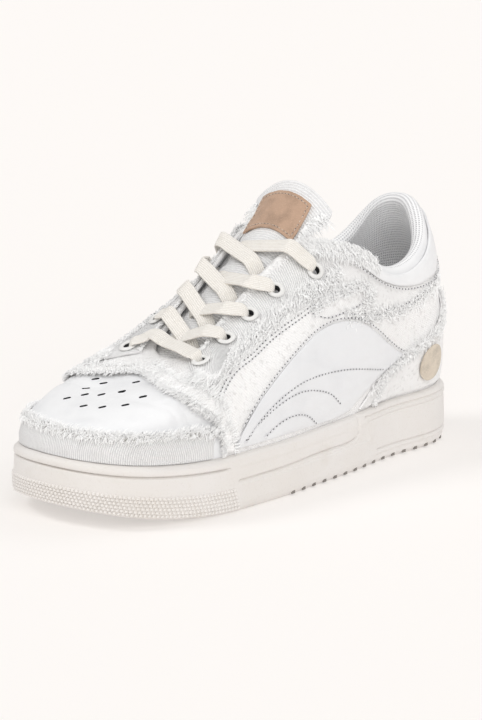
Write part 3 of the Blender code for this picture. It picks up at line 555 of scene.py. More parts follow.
def knit(name, colour, slot):
    """The lining's spacer mesh: rows of small dark holes between light loops; the holes' darkness is painted
    shade.
    """
    s = Surface(name, colour, 0.88, slot)
    cloth = s.where(cloth=True)
    holes = s.product(s.ribs(0.00155, cloth, "X"), s.ribs(0.00135, cloth, "Y"))
    # Dark where the mesh sinks into its holes: painted shade
    s.tint(s.ramp(holes, 0.30, 0.62), (0.42, 0.42, 0.44), 0.55)
    s.relief(s.ramp(holes, 0.65, 0.15), 0.00035)
    s.grain(1500, 2, 0.00010)
    s.sheen(0.2)
    return s


def rubber(name, colour):
    s = Surface(name, colour, 0.58, "sole_rubber")
    s.mottle(22, 4, 0.48, 0.75, (0.73, 0.69, 0.64), 0.45)
    s.mottle(900, 2, 0.58, 0.74, (0.66, 0.62, 0.57), 0.35)
    s.mottle(70, 6, 0.60, 0.72, (0.62, 0.58, 0.52), 0.25)
    s.grain(1300, 3, 0.00005)
    s.grain(55, 3, 0.00020)
    s.gloss(60, 0.46, 0.70)
    return s


def suede(name, colour):
    s = Surface(name, colour, 0.82, "label_leather")
    s.mottle(120, 5, 0.45, 0.70, scaled(colour, 0.62), 0.65)
    s.mottle(1400, 2, 0.50, 0.80, scaled(colour, 1.35), 0.5)
    s.grain(900, 5, 0.00018)
    s.grain(120, 4, 0.00022)
    s.sheen(0.2)
    return s


def webbing(name, colour, slot):
    """Flat woven lace: fine lengthwise cords crossed by picks."""
    s = Surface(name, colour, 0.88, slot)
    cloth = s.where(cloth=True)
    cords = s.ribs(0.00110, cloth, "Y", 0.9)
    # Brownish grey where the cords sink: painted shade between them
    s.tint(s.ramp(cords, 0.30, 0.0), (0.70, 0.63, 0.54), 0.50)
    s.mottle(300, 4, 0.50, 0.75, (0.86, 0.81, 0.73), 0.35)
    s.relief(cords, 0.00030)
    s.relief(s.ribs(0.00062, cloth, "X", 1.2), 0.00005)
    s.grain(1500, 2, 0.00010)
    s.sheen(0.25)
    return s


def plain(name, colour, slot, rough, grain=900, depth=0.00005, shade=0.8):
    s = Surface(name, colour, rough, slot)
    s.mottle(grain * 0.3, 3, 0.45, 0.75, scaled(colour, shade), 0.6)
    s.grain(grain, 3, depth)
    return s


VAMP = leather("vamp_leather", (0.875, 0.880, 0.890), "upper_leather")
COLLAR = leather("collar_leather", (0.860, 0.862, 0.870), "upper_leather", 0.44)
PANEL = leather("panel_leather", (0.805, 0.810, 0.824), "panel_leather", 0.42)
QUARTER = fluffy("quarter_denim", (0.945, 0.938, 0.934), "frayed_denim")
TOE_DENIM = ribbed("toe_denim", (0.945, 0.943, 0.938), "ribbed_denim", 0.0011)
STAY_DENIM = ribbed("stay_denim", (0.970, 0.968, 0.965), "ribbed_denim", 0.0013, line=(0.54, 0.53, 0.53))
LINING = knit("lining_knit", (0.972, 0.972, 0.978), "insole_cloth")
SOCK = knit("insole_knit", (0.78, 0.77, 0.76), "insole_cloth")
RUBBER = rubber("moulded_rubber", (0.780, 0.754, 0.732))
# The same rubber as the sole, painted lighter on the knurl's raised squares: painted light
KNURL_LIT = rubber("knurl_rubber_painted_light", (0.835, 0.810, 0.788))
LABEL = suede("label_suede", (0.48, 0.32, 0.225))
DISC = suede("disc_leather", (0.66, 0.58, 0.48))
COTTON = webbing("lace_cotton", (0.960, 0.930, 0.880), "lace")
# Near-black blocks at the tread grooves' mouths: painted shade
GROOVE_MOUTH_SHADE = plain("groove_mouth_painted_shade", (0.230, 0.212, 0.195), "sole_rubber", 0.9)
# Grey threads laid low at the base of the toe's and vamp's frays: painted shade in the fray's crevices
FRAY_SHADE = plain("fray_painted_shade", (0.560, 0.545, 0.520), "frayed_denim", 0.9, 1400, 0.00002, 0.75)
THREAD = plain("frayed_cotton", (0.970, 0.970, 0.968), "frayed_denim", 0.9, 1400, 0.00002, 0.95)
STITCH = plain("stitch_thread", (0.88, 0.88, 0.89), "panel_leather", 0.8)
# Dark dots at the stitches' ends: painted shade of the needle holes
NEEDLE_HOLE_SHADE = plain("needle_hole_painted_shade", (0.13, 0.13, 0.14), "panel_leather", 0.9)
BROWN = plain("label_thread", (0.70, 0.60, 0.50), "label_leather", 0.8)
ENAMEL = plain("eyelet_enamel", (0.800, 0.795, 0.780), "eyelet", 0.30, 200, 0.00002, 0.95)
SHADE = plain("slot_shade", (0.035, 0.035, 0.038), "upper_leather", 0.95)
TONGUE_CLOTH = ribbed("tongue_denim", (0.930, 0.930, 0.932), "tongue_cloth", 0.0012, "Y", (0.66, 0.66, 0.67))


# Making pieces
def nothing_selected():
    if bpy.context.object and bpy.context.object.mode != "OBJECT":
        bpy.ops.object.mode_set(mode="OBJECT")
    bpy.ops.object.select_all(action="DESELECT")


def only(piece):
    nothing_selected()
    piece.select_set(True)
    bpy.context.view_layer.objects.active = piece


def done(piece, surface, *replaced, angle=40):
    """Smooths, gives the piece its finish if it has none, hides the parts it replaces, and lets it ride on
    the shoe.
    """
    if not piece.data.materials:
        piece.data.materials.append(surface.material)
    only(piece)
    bpy.ops.object.shade_smooth_by_angle(angle=math.radians(angle))
    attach(piece, "root")
    if replaced:
        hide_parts(*replaced)
    return piece


def apply(piece, name, kind, **values):
    change = piece.modifiers.new(name, kind)
    for key, value in values.items():
        setattr(change, key, value)
    only(piece)
    bpy.ops.object.modifier_apply(modifier=change.name)


def sheet(name, columns, rows):
    """A flat grid to be laid on the shoe, with the share of the way along and up of each of its points."""
    piece = added(
        bpy.ops.mesh.primitive_grid_add, x_subdivisions=columns, y_subdivisions=rows, size=1, calc_uvs=True)
    piece.name = piece.data.name = name
    flat = np.empty((len(piece.data.vertices), 3))
    piece.data.vertices.foreach_get("co", flat.ravel())
    return piece, 0.5 - flat[:, 0], flat[:, 1] + 0.5


def lay(piece, points, cloth):
    """Moves the grid's points onto the shoe and maps the cloth in metres."""
    piece.data.vertices.foreach_set("co", np.asarray(points, float).ravel())
    index = np.empty(len(piece.data.loops), int)
    piece.data.loops.foreach_get("vertex_index", index)
    piece.data.uv_layers.active.data.foreach_set("uv", np.asarray(cloth, float)[index].ravel())
    piece.data.update()


def edit(piece, change, **values):
    """Runs one mesh operator on the whole of a piece."""
    only(piece)
    bpy.ops.object.mode_set(mode="EDIT")
    bpy.ops.mesh.select_all(action="SELECT")
    change(**values)
    bpy.ops.object.mode_set(mode="OBJECT")


def merge(piece):
    edit(piece, bpy.ops.mesh.remove_doubles, threshold=0.00001)


def face_out(piece):
    """Points every face of a closed piece outwards."""
    edit(piece, bpy.ops.mesh.normals_make_consistent, inside=False)


def close(piece):
    """Joins a sleeve's seam and fills its two ends."""
    merge(piece)
    edit(piece, bpy.ops.mesh.fill_holes, sides=0)
    face_out(piece)


def turn_over(piece):
    edit(piece, bpy.ops.mesh.flip_normals)


def walled(piece, thick, edge=0.0003):
    """Gives a laid sheet its thickness and a soft edge."""
    apply(piece, "wall", "SOLIDIFY", thickness=thick, offset=-1.0)
    apply(piece, "edge", "BEVEL", width=edge, segments=2, limit_method="ANGLE", angle_limit=math.radians(50))


def paint(piece, surfaces, kind):
    """Gives each face one of the surfaces: the one that kind numbers for its first corner."""
    for surface in surfaces:
        piece.data.materials.append(surface.material)
    corner = np.array([f.vertices[0] for f in piece.data.polygons])
    piece.data.polygons.foreach_set("material_index", kind[corner])


def added(primitive, **values):
    nothing_selected()
    primitive(**values)
    return bpy.context.object


def joined(pieces):
    nothing_selected()
    for piece in pieces:
        piece.select_set(True)
    bpy.context.view_layer.objects.active = pieces[0]
    bpy.ops.object.join()
    return bpy.context.object


def block(x, y, z, top=1.0):
    """A small block whose upper face is drawn in to a share of the lower one."""
    piece = added(bpy.ops.mesh.primitive_cube_add, size=1)
    for vertex in piece.data.vertices:
        narrow = top if vertex.co.z > 0 else 1.0
        vertex.co = (vertex.co.x * x * narrow, vertex.co.y * y * narrow, vertex.co.z * z)
    return piece


def repeated(name, parts, faces):
    """One mesh of many like parts: an array of each part's points, and the faces of one part."""
    count, size = parts.shape[:2]
    every = [tuple(k * size + i for i in face) for k in range(count) for face in faces]
    mesh = bpy.data.meshes.new(name)
    mesh.from_pydata(parts.reshape(-1, 3).tolist(), [], every)
    piece = bpy.data.objects.new(name, mesh)
    bpy.context.scene.collection.objects.link(piece)
    return piece


# About the way round the upper and up its wall in metres, for the cloth maps and the creases
AROUND, WALL_RISE, CLOTH_RISE = 0.72, 0.085, 0.09
SPANS = np.array([2.5 * SOLE_LENGTH, 0.7087 * COLLAR_HEIGHT])  # the same, following the driving sizes


def run_along(points):
    """How far along a row of points each of them is, in metres."""
    return np.append(0, np.cumsum(np.linalg.norm(np.diff(points, axis=0), axis=1)))


def through(points, count):
    """Points spread evenly along a smooth curve through a short list of them."""
    points = np.array(points, float)
    steps = np.linalg.norm(np.diff(points * SPANS, axis=0), axis=1)
    knots = np.append(0, np.cumsum(steps)) / steps.sum()
    return spline(knots, points)(np.linspace(0, 1, count) if np.isscalar(count) else count)


def pressed(places, heights, lines, tall):
    """How deep the lines are pressed in at places round the outline and shares of the way up."""
    depth = np.zeros(np.shape(places))
    for line, deep, wide in lines:
        path = through(line, 60)
        for (q0, t0), (q1, t1) in zip(path[:-1], path[1:]):
            run = np.array([(q1 - q0) * AROUND, (t1 - t0) * tall])
            here = np.stack([(places - q0) * AROUND, (heights - t0) * tall], axis=-1)
            along = np.clip(here @ run / (run @ run + 1e-12), 0, 1)
            away = np.linalg.norm(here - along[..., None] * run, axis=-1)
            near = away < 4 * wide
            depth[near] = np.maximum(depth[near], deep * np.exp(-((away[near] / wide) ** 2)))
    return depth


def wrinkled(places, heights):
    """Creases and the slight unevenness of worn leather."""
    uneven = 0.00022 * np.sin(places * 61 + heights * 9) * np.sin(heights * 23 - places * 37)
    return uneven * window(heights, 0.05, 0.95, 0.1) - pressed(places, heights, CREASES, WALL_RISE)


def arc_height(places):
    """How far up the vamp's frayed edge crosses each place."""
    line = through(ARC_LOW, 80)
    return np.interp(0.5 - np.abs(places - 0.5), line[:, 0], line[:, 1])


def make_upper():
    """The shell: up its outside, over the padded edge and down the lining, back to its foot."""
    columns, outside, roll, inside = 400, 64, 10, 30
    rows = outside + roll + inside + 4
    piece, u, v = sheet("upper_shell", columns, rows)
    row, places = np.rint(v * rows).astype(int), u % 1.0
    back = -RIM_WIDTH - CLEAR
    foot, foot_in = (ring(places, out, lambda a: cup_floor(a) + CLEAR) for out in (back, back - WALL))
    sill = ring(places, back - WALL, rim_height)
    t_out = np.clip((row - 1) / outside, 0, 1)
    outer = off_skin(places, t_out, wrinkled(places, t_out))
    top = skin(places, 1.0)
    lip = off_skin(places, 1.0, -wall_thickness(places, 1.0))
    middle, reach = (top + lip) / 2, (top - lip) / 2
    turn = np.clip((row - 1 - outside) / roll, 0, 1) * math.pi
    rolled = middle + reach * np.cos(turn)[:, None]
    rolled += unit(top - skin(places, 0.985)) * (np.linalg.norm(reach, axis=1) * np.sin(turn))[:, None]
    t_in = 1 - np.clip((row - 1 - outside - roll) / inside, 0, 1)
    inner = off_skin(places, t_in, -wall_thickness(places, t_in))
    last = outside + roll + inside + 1
    starts = [1, outside + 2, outside + roll + 1, last, last + 1, last + 2]
    part = np.searchsorted(starts, row, side="right")
    points = np.stack([foot, outer, rolled, inner, sill, foot_in, foot])[part, np.arange(len(u))]
    height = np.where(row <= outside + 1, t_out * WALL_RISE, (2 - t_in) * WALL_RISE + turn * 0.003)
    lay(piece, points, np.stack([u * AROUND, height], axis=-1))
    from_toe, t = np.abs(places - 0.5), np.clip((row - 0.5) / outside, 0, 1)
    kind = np.ones(len(u), int)
    kind[(from_toe < 0.1525) & (t < arc_height(places) + 0.02)] = 0
    kind[row >= outside - 2] = 2
    kind[row >= outside + 3] = 3
    kind[(row >= outside - 4) & (row <= outside + roll) & (from_toe < 0.262)] = 1
    paint(piece, (VAMP, QUARTER, COLLAR, LINING), kind)
    merge(piece)
    face_out(piece)
    return piece


def slot_cutters():
    """Slots of the vamp and holes behind the eyelets, to cut from the upper."""
    made = []
    radius, reach, deep, proud = 0.0011, 0.0010, 0.0036, 0.0008
    for place, height in TOE_SLOTS:
        piece = added(bpy.ops.mesh.primitive_cylinder_add, vertices=20, radius=radius, depth=deep)
        for vertex in piece.data.vertices:
            vertex.co.x += math.copysign(reach, vertex.co.x)
            vertex.co.z += proud
        matrix = frame_at(place, height, 0.0)
        x = matrix.to_3x3().col[0]
        piece.data.transform(matrix @ Matrix.Rotation(SLOT_LEAN - math.atan2(x.y, x.x), 4, "Z"))
        made.append(piece)
    for _, place, height in eyelet_places():
        piece = added(
            bpy.ops.mesh.primitive_cylinder_add, vertices=24, radius=EYELET_BARREL + 0.0001, depth=0.012)
        piece.data.transform(frame_at(place, height, -0.0025))
        made.append(piece)
    # The cut walls of the slots and holes take this near-black painted shade
    for piece in made:
        piece.data.materials.append(SHADE.material)
    return joined(made)


def eyelet_places():
    for k, eyelet in enumerate(EYELETS, 1):
        yield f"eyelet_outer_{k}", eyelet.outer, eyelet.height
        yield f"eyelet_inner_{k}", eyelet.inner, eyelet.height


def cut(piece, cutter):
    apply(piece, "slots", "BOOLEAN", operation="DIFFERENCE", solver="EXACT", object=cutter,
          material_mode="TRANSFER")


THREAD_POINTS, THREAD_RADIUS = 4, 0.00021


def patch(name, surface, lower, upper, columns, rows, out, crown):
    """A piece of cloth or leather laid on the upper between two lines, with its wall and a soft edge."""
    piece, u, v = sheet(name, columns, rows)
    low, high = through(lower, u), through(upper, u)
    q, t = (low + (high - low) * v[:, None]).T
    lift_off = out + OVERLAY - 0.0004 + crown * np.sqrt(np.clip(4 * v * (1 - v), 0, 1))
    uneven = 0.0002 * np.sin(q * 173 + t * 31) * np.sin(t * 47 - q * 88)
    points = off_skin(q, t, lift_off + uneven - pressed(q, t, CREASES, WALL_RISE) * 0.8)
    shares = np.linspace(0, 1, 161)
    run = run_along(skin(*((through(lower, shares) + through(upper, shares)) / 2).T))
    lay(piece, points, np.stack([np.interp(u, shares, run), t * CLOTH_RISE], axis=-1))
    piece.data.materials.append(surface.material)
    if q[np.argmax(u)] < q[np.argmin(u)]:
        turn_over(piece)
    walled(piece, OVERLAY, 0.00035)
    return piece


def spun(name, points, thick, surface):
    """Three-sided threads of uneven width, drawn out to a tip, through rows of points, as one piece."""
    off_every_thread = (0.31, 0.17, 0.93)
    count, rings = len(points), points.shape[1] - 1
    width = thick * CHANCE.uniform(0.6, 1.5, count)[:, None] * np.linspace(1.15, 0.85, rings)
    ahead = np.gradient(points, axis=1)[:, :-1]
    side = unit(np.cross(ahead, off_every_thread))
    over = unit(np.cross(ahead, side))
    turn = np.radians([0, 120, 240])[:, None]
    corner = side[:, :, None] * np.cos(turn) + over[:, :, None] * np.sin(turn)
    tube = (points[:, :-1, None] + corner * width[..., None, None]).reshape(count, -1, 3)
    tip = 3 * rings
    faces = [(2, 1, 0)]
    for i, j in ((0, 1), (1, 2), (2, 0)):
        faces += [(k + i, k + j, k + j + 3, k + i + 3) for k in range(0, tip - 3, 3)]
        faces += [(tip - 3 + i, tip - 3 + j, tip)]
    return done(repeated(name, np.concatenate([tube, points[:, -1:]], axis=1), faces), surface)


def frayed(name, line, count, reach, up, wide, spread=0.9, base=0.0015, high=0.0022, surface=THREAD):
    """Loose threads along a line: they leave it up or down the shoe, bend, and lie back on the surface."""
    share = CHANCE.uniform(0, 1, count)
    root = through(line, np.sort(share))
    q, t = root.T
    per_place = np.linalg.norm(skin(q + 5e-4, t) - skin(q - 5e-4, t), axis=1) / 1e-3
    per_height = np.linalg.norm(skin(q, np.minimum(t + 5e-3, 1)) - skin(q, t - 5e-3), axis=1) / 1e-2
    ahead = np.gradient(root, axis=0) * np.stack([per_place, per_height], axis=-1)
    along = np.arctan2(ahead[:, 1], ahead[:, 0] + 1e-12)
    side = np.where(CHANCE.uniform(0, 1, count) < up, 1, -1)
    angle = along + side * math.pi / 2 + CHANCE.normal(0, spread * 0.5, count)
    length = reach * CHANCE.uniform(0.35, 1.0, count) ** 1.2
    bend = CHANCE.normal(0, 0.9, count)
    height = t + CHANCE.uniform(-1, 1, count) * wide / CLOTH_RISE
    step = np.linspace(0, 1, THREAD_POINTS)
    heading = angle[:, None] + bend[:, None] * step[None, :] ** 1.5
    move = length[:, None] / (THREAD_POINTS - 1)
    du, dv = (np.cumsum(part * move, axis=1) - part * move for part in (np.cos(heading), np.sin(heading)))
    q = q[:, None] + du / per_place[:, None]
    wanted = height[:, None] + dv / per_height[:, None]
    t = np.clip(wanted, 0.0, 0.999)
    rise = base + high * CHANCE.uniform(0.1, 1.0, count)[:, None] ** 1.5 * np.sin(step * 2.6)[None, :]
    past = np.clip((wanted - t) * per_height[:, None], 0, 0.0030)
    points = off_skin(q, t, rise) + unit(skin(q, t) - skin(q, t - 0.015)) * past[..., None]
    rings = np.array([off_skin(place, height, EYELET_SEAT) for _, place, height in eyelet_places()])
    apart = np.linalg.norm(points[:, :, None] - rings[None, None], axis=-1).min(axis=(1, 2))
    return spun(name, points[apart > EYELET_FLANGE + 0.0004], THREAD_RADIUS, surface)


def copies(name, model, frames, surface):
    """One mesh holding a copy of a small model at each frame."""
    points = np.array([v.co[:] for v in model.data.vertices])
    faces = [tuple(f.vertices) for f in model.data.polygons]
    frames = np.array([np.array(f) for f in frames])
    bpy.data.objects.remove(model)
    parts = np.einsum("fij,pj->fpi", frames[:, :3, :3], points) + frames[:, None, :3, 3]
    return done(repeated(name, parts, faces), surface)


def stitch_model(length, radius):
    """One stitch: a short thread that dips in at both ends."""
    piece = added(bpy.ops.mesh.primitive_cylinder_add, vertices=6, radius=radius, depth=length,
                  rotation=(0, math.pi / 2, 0))
    bpy.ops.object.transform_apply(rotation=True)
    edit(piece, bpy.ops.mesh.bevel, offset=radius * 0.8, segments=1)
    return piece


def hole_model(radius):
    piece = added(bpy.ops.mesh.primitive_uv_sphere_add, segments=7, ring_count=4, radius=radius)
    for vertex in piece.data.vertices:
        vertex.co.z *= 0.35
    return piece


def along_line(line, spacing, out, shift):
    """Frames every so many metres along a line on the upper, X along it and Z off the surface."""
    q, t = through(line, 400).T
    points, normals = off_skin(q, t, out), skin_normal(q, t)
    ahead = unit(np.gradient(points, axis=0))
    points = points + np.cross(normals, ahead) * shift
    run = run_along(points)
    at = np.arange(spacing / 2, run[-1], spacing)
    parts = [np.stack([np.interp(at, run, column) for column in part.T], axis=1)
             for part in (points, ahead, normals)]
    return [frame_of(*row) for row in zip(*parts)]


def stitched(name, rows):
    """Rows of stitches: grey thread, and a dark dot at each end of it: painted shade of its needle hole."""
    spacing, length, radius, hole = 0.0026, 0.0015, 0.00034, 0.00043
    threads = [frame for line, out, shift in rows for frame in along_line(line, spacing, out, shift)]
    copies(name, stitch_model(length, radius), threads, STITCH)
    ends = Matrix.Translation((spacing / 2, 0, -0.00002))
    copies(name + "_holes", hole_model(hole), [frame @ ends for frame in threads], NEEDLE_HOLE_SHADE)


def make_overlays(cutters):
    def overlay(name, surface, low, high, columns, rows, out, crown, replaced, holes=None):
        piece = patch(name, surface, low, high, columns, rows, out, crown)
        if holes:
            cut(piece, holes)
        done(piece, surface, replaced)

    overlay("toe_band_denim", TOE_DENIM, BAND_LOW, BAND_HIGH, 200, 16, PROUD, 0.0, "toe_band")
    overlay("vamp_edge", QUARTER, across(ARC_LOW), across(ARC_HIGH), 220, 8, PROUD, 0.0010, "vamp_fringe")
    for side, turn, out in (("outer", list, PROUD), ("inner", swap, PROUD + CLEAR)):
        overlay(f"eyestay_{side}_denim", STAY_DENIM, turn(STAY_LOW), turn(STAY_HIGH), 120, 26, out, 0.0,
                f"eyestay_{side}", cutters)
        overlay(f"side_panel_{side}_leather", PANEL, turn(SIDE_LOW), turn(SIDE_HIGH), 120, 40, out, 0.0006,
                f"side_panel_{side}")
    overlay("heel_counter_denim", QUARTER, HEEL_LOW, HEEL_HIGH, 180, 36, PROUD + 2 / 3 * CLEAR, 0.0,
            "heel_counter")
    overlay("collar_band_leather", COLLAR, across(COLLAR_LOW), across(COLLAR_HIGH), 180, 16, PROUD, 0.0008,
            "collar_band")


def make_frays():
    """Each row: its name and line, how many threads, how long, the share that point up, how wide a strip."""
    frayed("toe_fray", BAND_HIGH, 2600, 0.0050, 0.62, 0.0012)
    frayed("vamp_fray_low", across(ARC_LOW), 2400, 0.0050, 0.30, 0.0012, high=0.0024)
    frayed("vamp_fray_high", across(ARC_HIGH), 1500, 0.0055, 0.5, 0.0018)
    # Grey threads low at the base of the fray: painted shade
    frayed("toe_fray_shade", BAND_HIGH, 700, 0.0022, 0.35, 0.0010, base=0.0014, high=0.0010, surface=FRAY_SHADE)
    frayed("vamp_fray_shade", across(ARC_LOW), 500, 0.0022, 0.30, 0.0008, base=0.0010, high=0.0006, surface=FRAY_SHADE)
    middle = [tuple((np.array(a) + b) / 2) for a, b in zip(STAY_LOW[:9], STAY_SEAM)]
    for side, turn in (("outer", list), ("inner", swap)):
        for name, line, *values in (
            ("stay_fray", STAY_LOW, 2000, 0.0062, 0.40, 0.0020, 0.9, 0.0015, 0.0026),
            ("stay_nap", middle, 1300, 0.0055, 0.5, 0.0040, 2.4, 0.0003),
            ("island_nap", ISLAND[:6], 700, 0.0050, 0.5, 0.0030, 3.0, 0.0003),
            ("counter_fray", HEEL_HIGH[:5], 700, 0.0055, 0.60, 0.0010, 1.3, 0.0015, 0.0026),
            ("heel_fray", HEEL_SEAM, 1200, 0.0055, 0.75, 0.0014, 0.9, 0.0012),
            ("quarter_nap", QUARTER_SEAM, 900, 0.0050, 0.5, 0.0045, 2.6, 0.0003),
            ("collar_fray", COLLAR_EDGE, 1500, 0.0060, 0.45, 0.0030, 0.9, 0.0016, 0.0024),
            ("collar_tips", COLLAR_RIM, 1500, 0.0050, 0.75, 0.0006, 0.9, 0.0010, 0.0020),
            ("throat_fray", STAY_HIGH, 700, 0.0028, 0.4, 0.0006, 0.9, 0.0016, 0.0010),
        ):
            frayed(f"{name}_{side}", turn(line), *values)


def make_stitches():
    rows = []
    for turn, way in ((list, 1), (swap, -1)):
        rows += [(turn(SIDE_HIGH), 0.0018, 0.0017 * way)]
        rows += [(turn(STAY_SEAM), 0.0003, 0.0), (turn(STAY_SEAM), 0.0003, -0.0020 * way)]
        rows += [(turn(ISLAND + ISLAND[:1]), 0.0003, 0.0)]
        rows += [(turn(QUARTER_SEAM), 0.0003, 0.0), (turn(QUARTER_SEAM), 0.0003, 0.0020)]
        rows += [(turn(line), 0.0020, 0.0) for line in PANEL_SEAMS]
    rows += [(across(COLLAR_LOW), 0.0019, -0.0016)]
    stitched("panel_stitches", rows)


def sole_profile(heel=0.0, waist=0.0, bead=0.0):
    """How far the sole's wall stands out from its outline, from the floor up to the rim."""
    return [
        (0.00, -0.0032), (0.02, -0.0021), (0.08, -0.0007), (0.155, -0.0001 - 0.0005 * heel), (0.18, 0.0),
        (0.47, 0.0), (0.50, -0.0007 * waist), (0.77, -0.0003 - 0.0004 * waist),
        (0.80, -0.0004 - 0.0004 * bead), (0.83, -0.0004), (0.93, -0.0008), (0.985, -0.0020),
        (1.00, -RIM_WIDTH),
    ]


def make_sole():
    """The cup: up its wall, over the rim and down to its bed, closed above and below, cut by the tread."""
    columns, wall = 480, 80
    piece, u, v = sheet("cupsole_moulded", columns, wall + 2)
    row, q = np.rint(v * (wall + 2)).astype(int), u % 1.0
    share = np.clip(row / wall, 0, 1)
    along = y_to_along(LAST_CURVE(q)[:, EDGE_Y])
    heel, waist = 1 - smooth(along, 0.295, 0.315), window(along, 0.315, 0.725, 0.02)
    bead = 1 - window(along, 0.315, 0.760, 0.02)
    profile, out = sole_profile(heel, waist, bead), np.zeros(len(u))
    for (low, first), (high, second) in zip(profile[:-1], profile[1:]):
        here, part = (share >= low) & (share <= high), (share - low) / (high - low)
        out[here] = (first * (1 - part) + second * part)[here]
    out += 0.0006 * bead * np.sin(np.clip((share - 0.80) / 0.20, 0, 1) * math.pi)
    lines = SOLE_LINES + [(swap(line), deep, wide) for line, deep, wide in SOLE_LINES[1:]]
    out -= pressed(q, share, lines, 0.030)
    points = ring(q, out, lambda a: lift(a) + share * (rim_height(a) - lift(a)))
    for past, height, drop in ((1, rim_height, 0.0004), (2, cup_floor, 0.0)):
        here = row == wall + past
        points[here] = ring(q[here], -RIM_WIDTH - 0.0001, height) - [0, 0, drop]
    lay(piece, points, np.stack([u * AROUND, share * 0.031], axis=-1))
    shell = bmesh.new()
    shell.from_mesh(piece.data)
    bmesh.ops.remove_doubles(shell, verts=list(shell.verts), dist=0.00001)
    open_rims = [], []
    for vert in shell.verts:
        if vert.is_boundary:
            open_rims[int(vert.co.z > lift(y_to_along(vert.co.y)) + 0.002)].append(vert)
    for rim in open_rims:
        loop, ahead = [], rim[:1]
        while ahead:
            loop.append(ahead[0])
            ahead = [e.other_vert(loop[-1]) for e in loop[-1].link_edges if e.is_boundary]
            ahead = [vert for vert in ahead if vert not in loop]
        back = max(range(len(loop)), key=lambda i: loop[i].co.y)
        loop = loop[back:] + loop[:back]
        count = len(loop)
        for i in range(count // 2):
            face = [loop[i], loop[i + 1], loop[count - i - 1], loop[(count - i) % count]]
            shell.faces.new(list(dict.fromkeys(face)))
    bmesh.ops.recalc_face_normals(shell, faces=shell.faces)
    shell.to_mesh(piece.data)
    shell.free()
    cutter = make_tread_cutter()
    for part in (cutter, piece):
        part.data.materials.append(RUBBER.material)
    apply(piece, "tread", "BOOLEAN", operation="DIFFERENCE", solver="EXACT", object=cutter)
    bpy.data.objects.remove(cutter)
    done(piece, RUBBER, "cupsole", angle=32)


def make_tread_cutter():
    """Bars that cut the straight grooves and the chevrons of the tread."""
    edge = LAST_CURVE(np.linspace(0, 1, 400, endpoint=False))[:, :2]
    reach, step, paths = BALL_WIDTH * 0.8, TREAD_STEP * SOLE_LENGTH, []
    for k in range(HEEL_GROOVES):
        y = along_to_y(HEEL_TREAD) - step * (k + 0.5)
        paths.append([(-reach, y), (0.0, y), (reach, y)])
    for k in range(BALL_GROOVES):
        y, dip = along_to_y(BALL_TREAD) - step * (k + 0.5), 0.435 * step
        near = edge[np.abs(edge[:, 1] - y - dip) < dip]
        left, right = near[:, 0].min() + TREAD_BORDER, near[:, 0].max() - TREAD_BORDER
        paths.append([(left, y + dip), ((left + right) / 2, y - dip), (right, y + dip)])
    made = []
    for path in paths:
        bar = added(bpy.ops.mesh.primitive_cube_add, size=1)
        edit(bar, bpy.ops.mesh.bisect, plane_co=(0, 0, 0), plane_no=(1, 0, 0))
        for vertex in bar.data.vertices:
            x, y = path[1 + int(np.sign(round(vertex.co.x, 3)))]
            top = lift(y_to_along(y)) + TREAD_DEPTH + 0.0004 if vertex.co.z > 0 else -0.004
            vertex.co = (x, y + vertex.co.y * TREAD_GROOVE, top)
        made.append(bar)
    return joined(made)


def wall_frame(q, share):
    """A frame on the sole's wall at a share of its height: X runs round it, Y up and Z out."""
    here, ahead = ring([q, q + 1e-3], 0.0, lambda a: lift(a) + share * (rim_height(a) - lift(a)))
    z = np.append(outward(q), 0.0)
    return frame_of(here + z * np.interp(share, *zip(*sole_profile()[:5])), ahead - here, z)


def make_knurl():
    """The small raised squares round the toe, in rows that lean."""
    start, end, spacing, lean = 0.338, 0.668, 0.00335, 0.0011
    frames = []
    for line in range(6):
        share = 0.085 + 0.066 * line
        for q in np.arange(start + lean * line, end, spacing):
            if share <= 0.46 + 0.06 * smooth(abs(q - 0.5), 0.0, 0.12):
                frames.append(wall_frame(q, share))
    # The squares take the lighter rubber: painted light on their raised faces
    copies("toe_knurl", block(0.0021, 0.0021, 0.0018, 0.5), frames, KNURL_LIT)


def make_notches():
    """Dark blocks at the mouths of the straight grooves along both edges of the sole: painted shade where the
    grooves open.
    """
    places = np.linspace(0.03, 0.47, 600)
    outer, inner = (-LAST_CURVE(q)[:, EDGE_Y] for q in (places, 1 - places))
    frames = []
    for k in range(HEEL_GROOVES):
        y = TREAD_STEP * SOLE_LENGTH * (k + 0.5) - along_to_y(HEEL_TREAD)
        for q in (np.interp(y, outer, places), 1 - np.interp(y, inner, places)):
            frames.append(wall_frame(q, 0.062))
    copies("edge_notch_shade_blocks", block(0.0024, 0.0021, 0.0007), frames, GROOVE_MOUTH_SHADE)


def tongue_half(back, v):
    """Half the tongue's width, a little more where the stays cover its sides."""
    return TONGUE_CURVE(back)[..., 2] + 0.0055 * (1 - smooth(v, 0.72, 0.98))


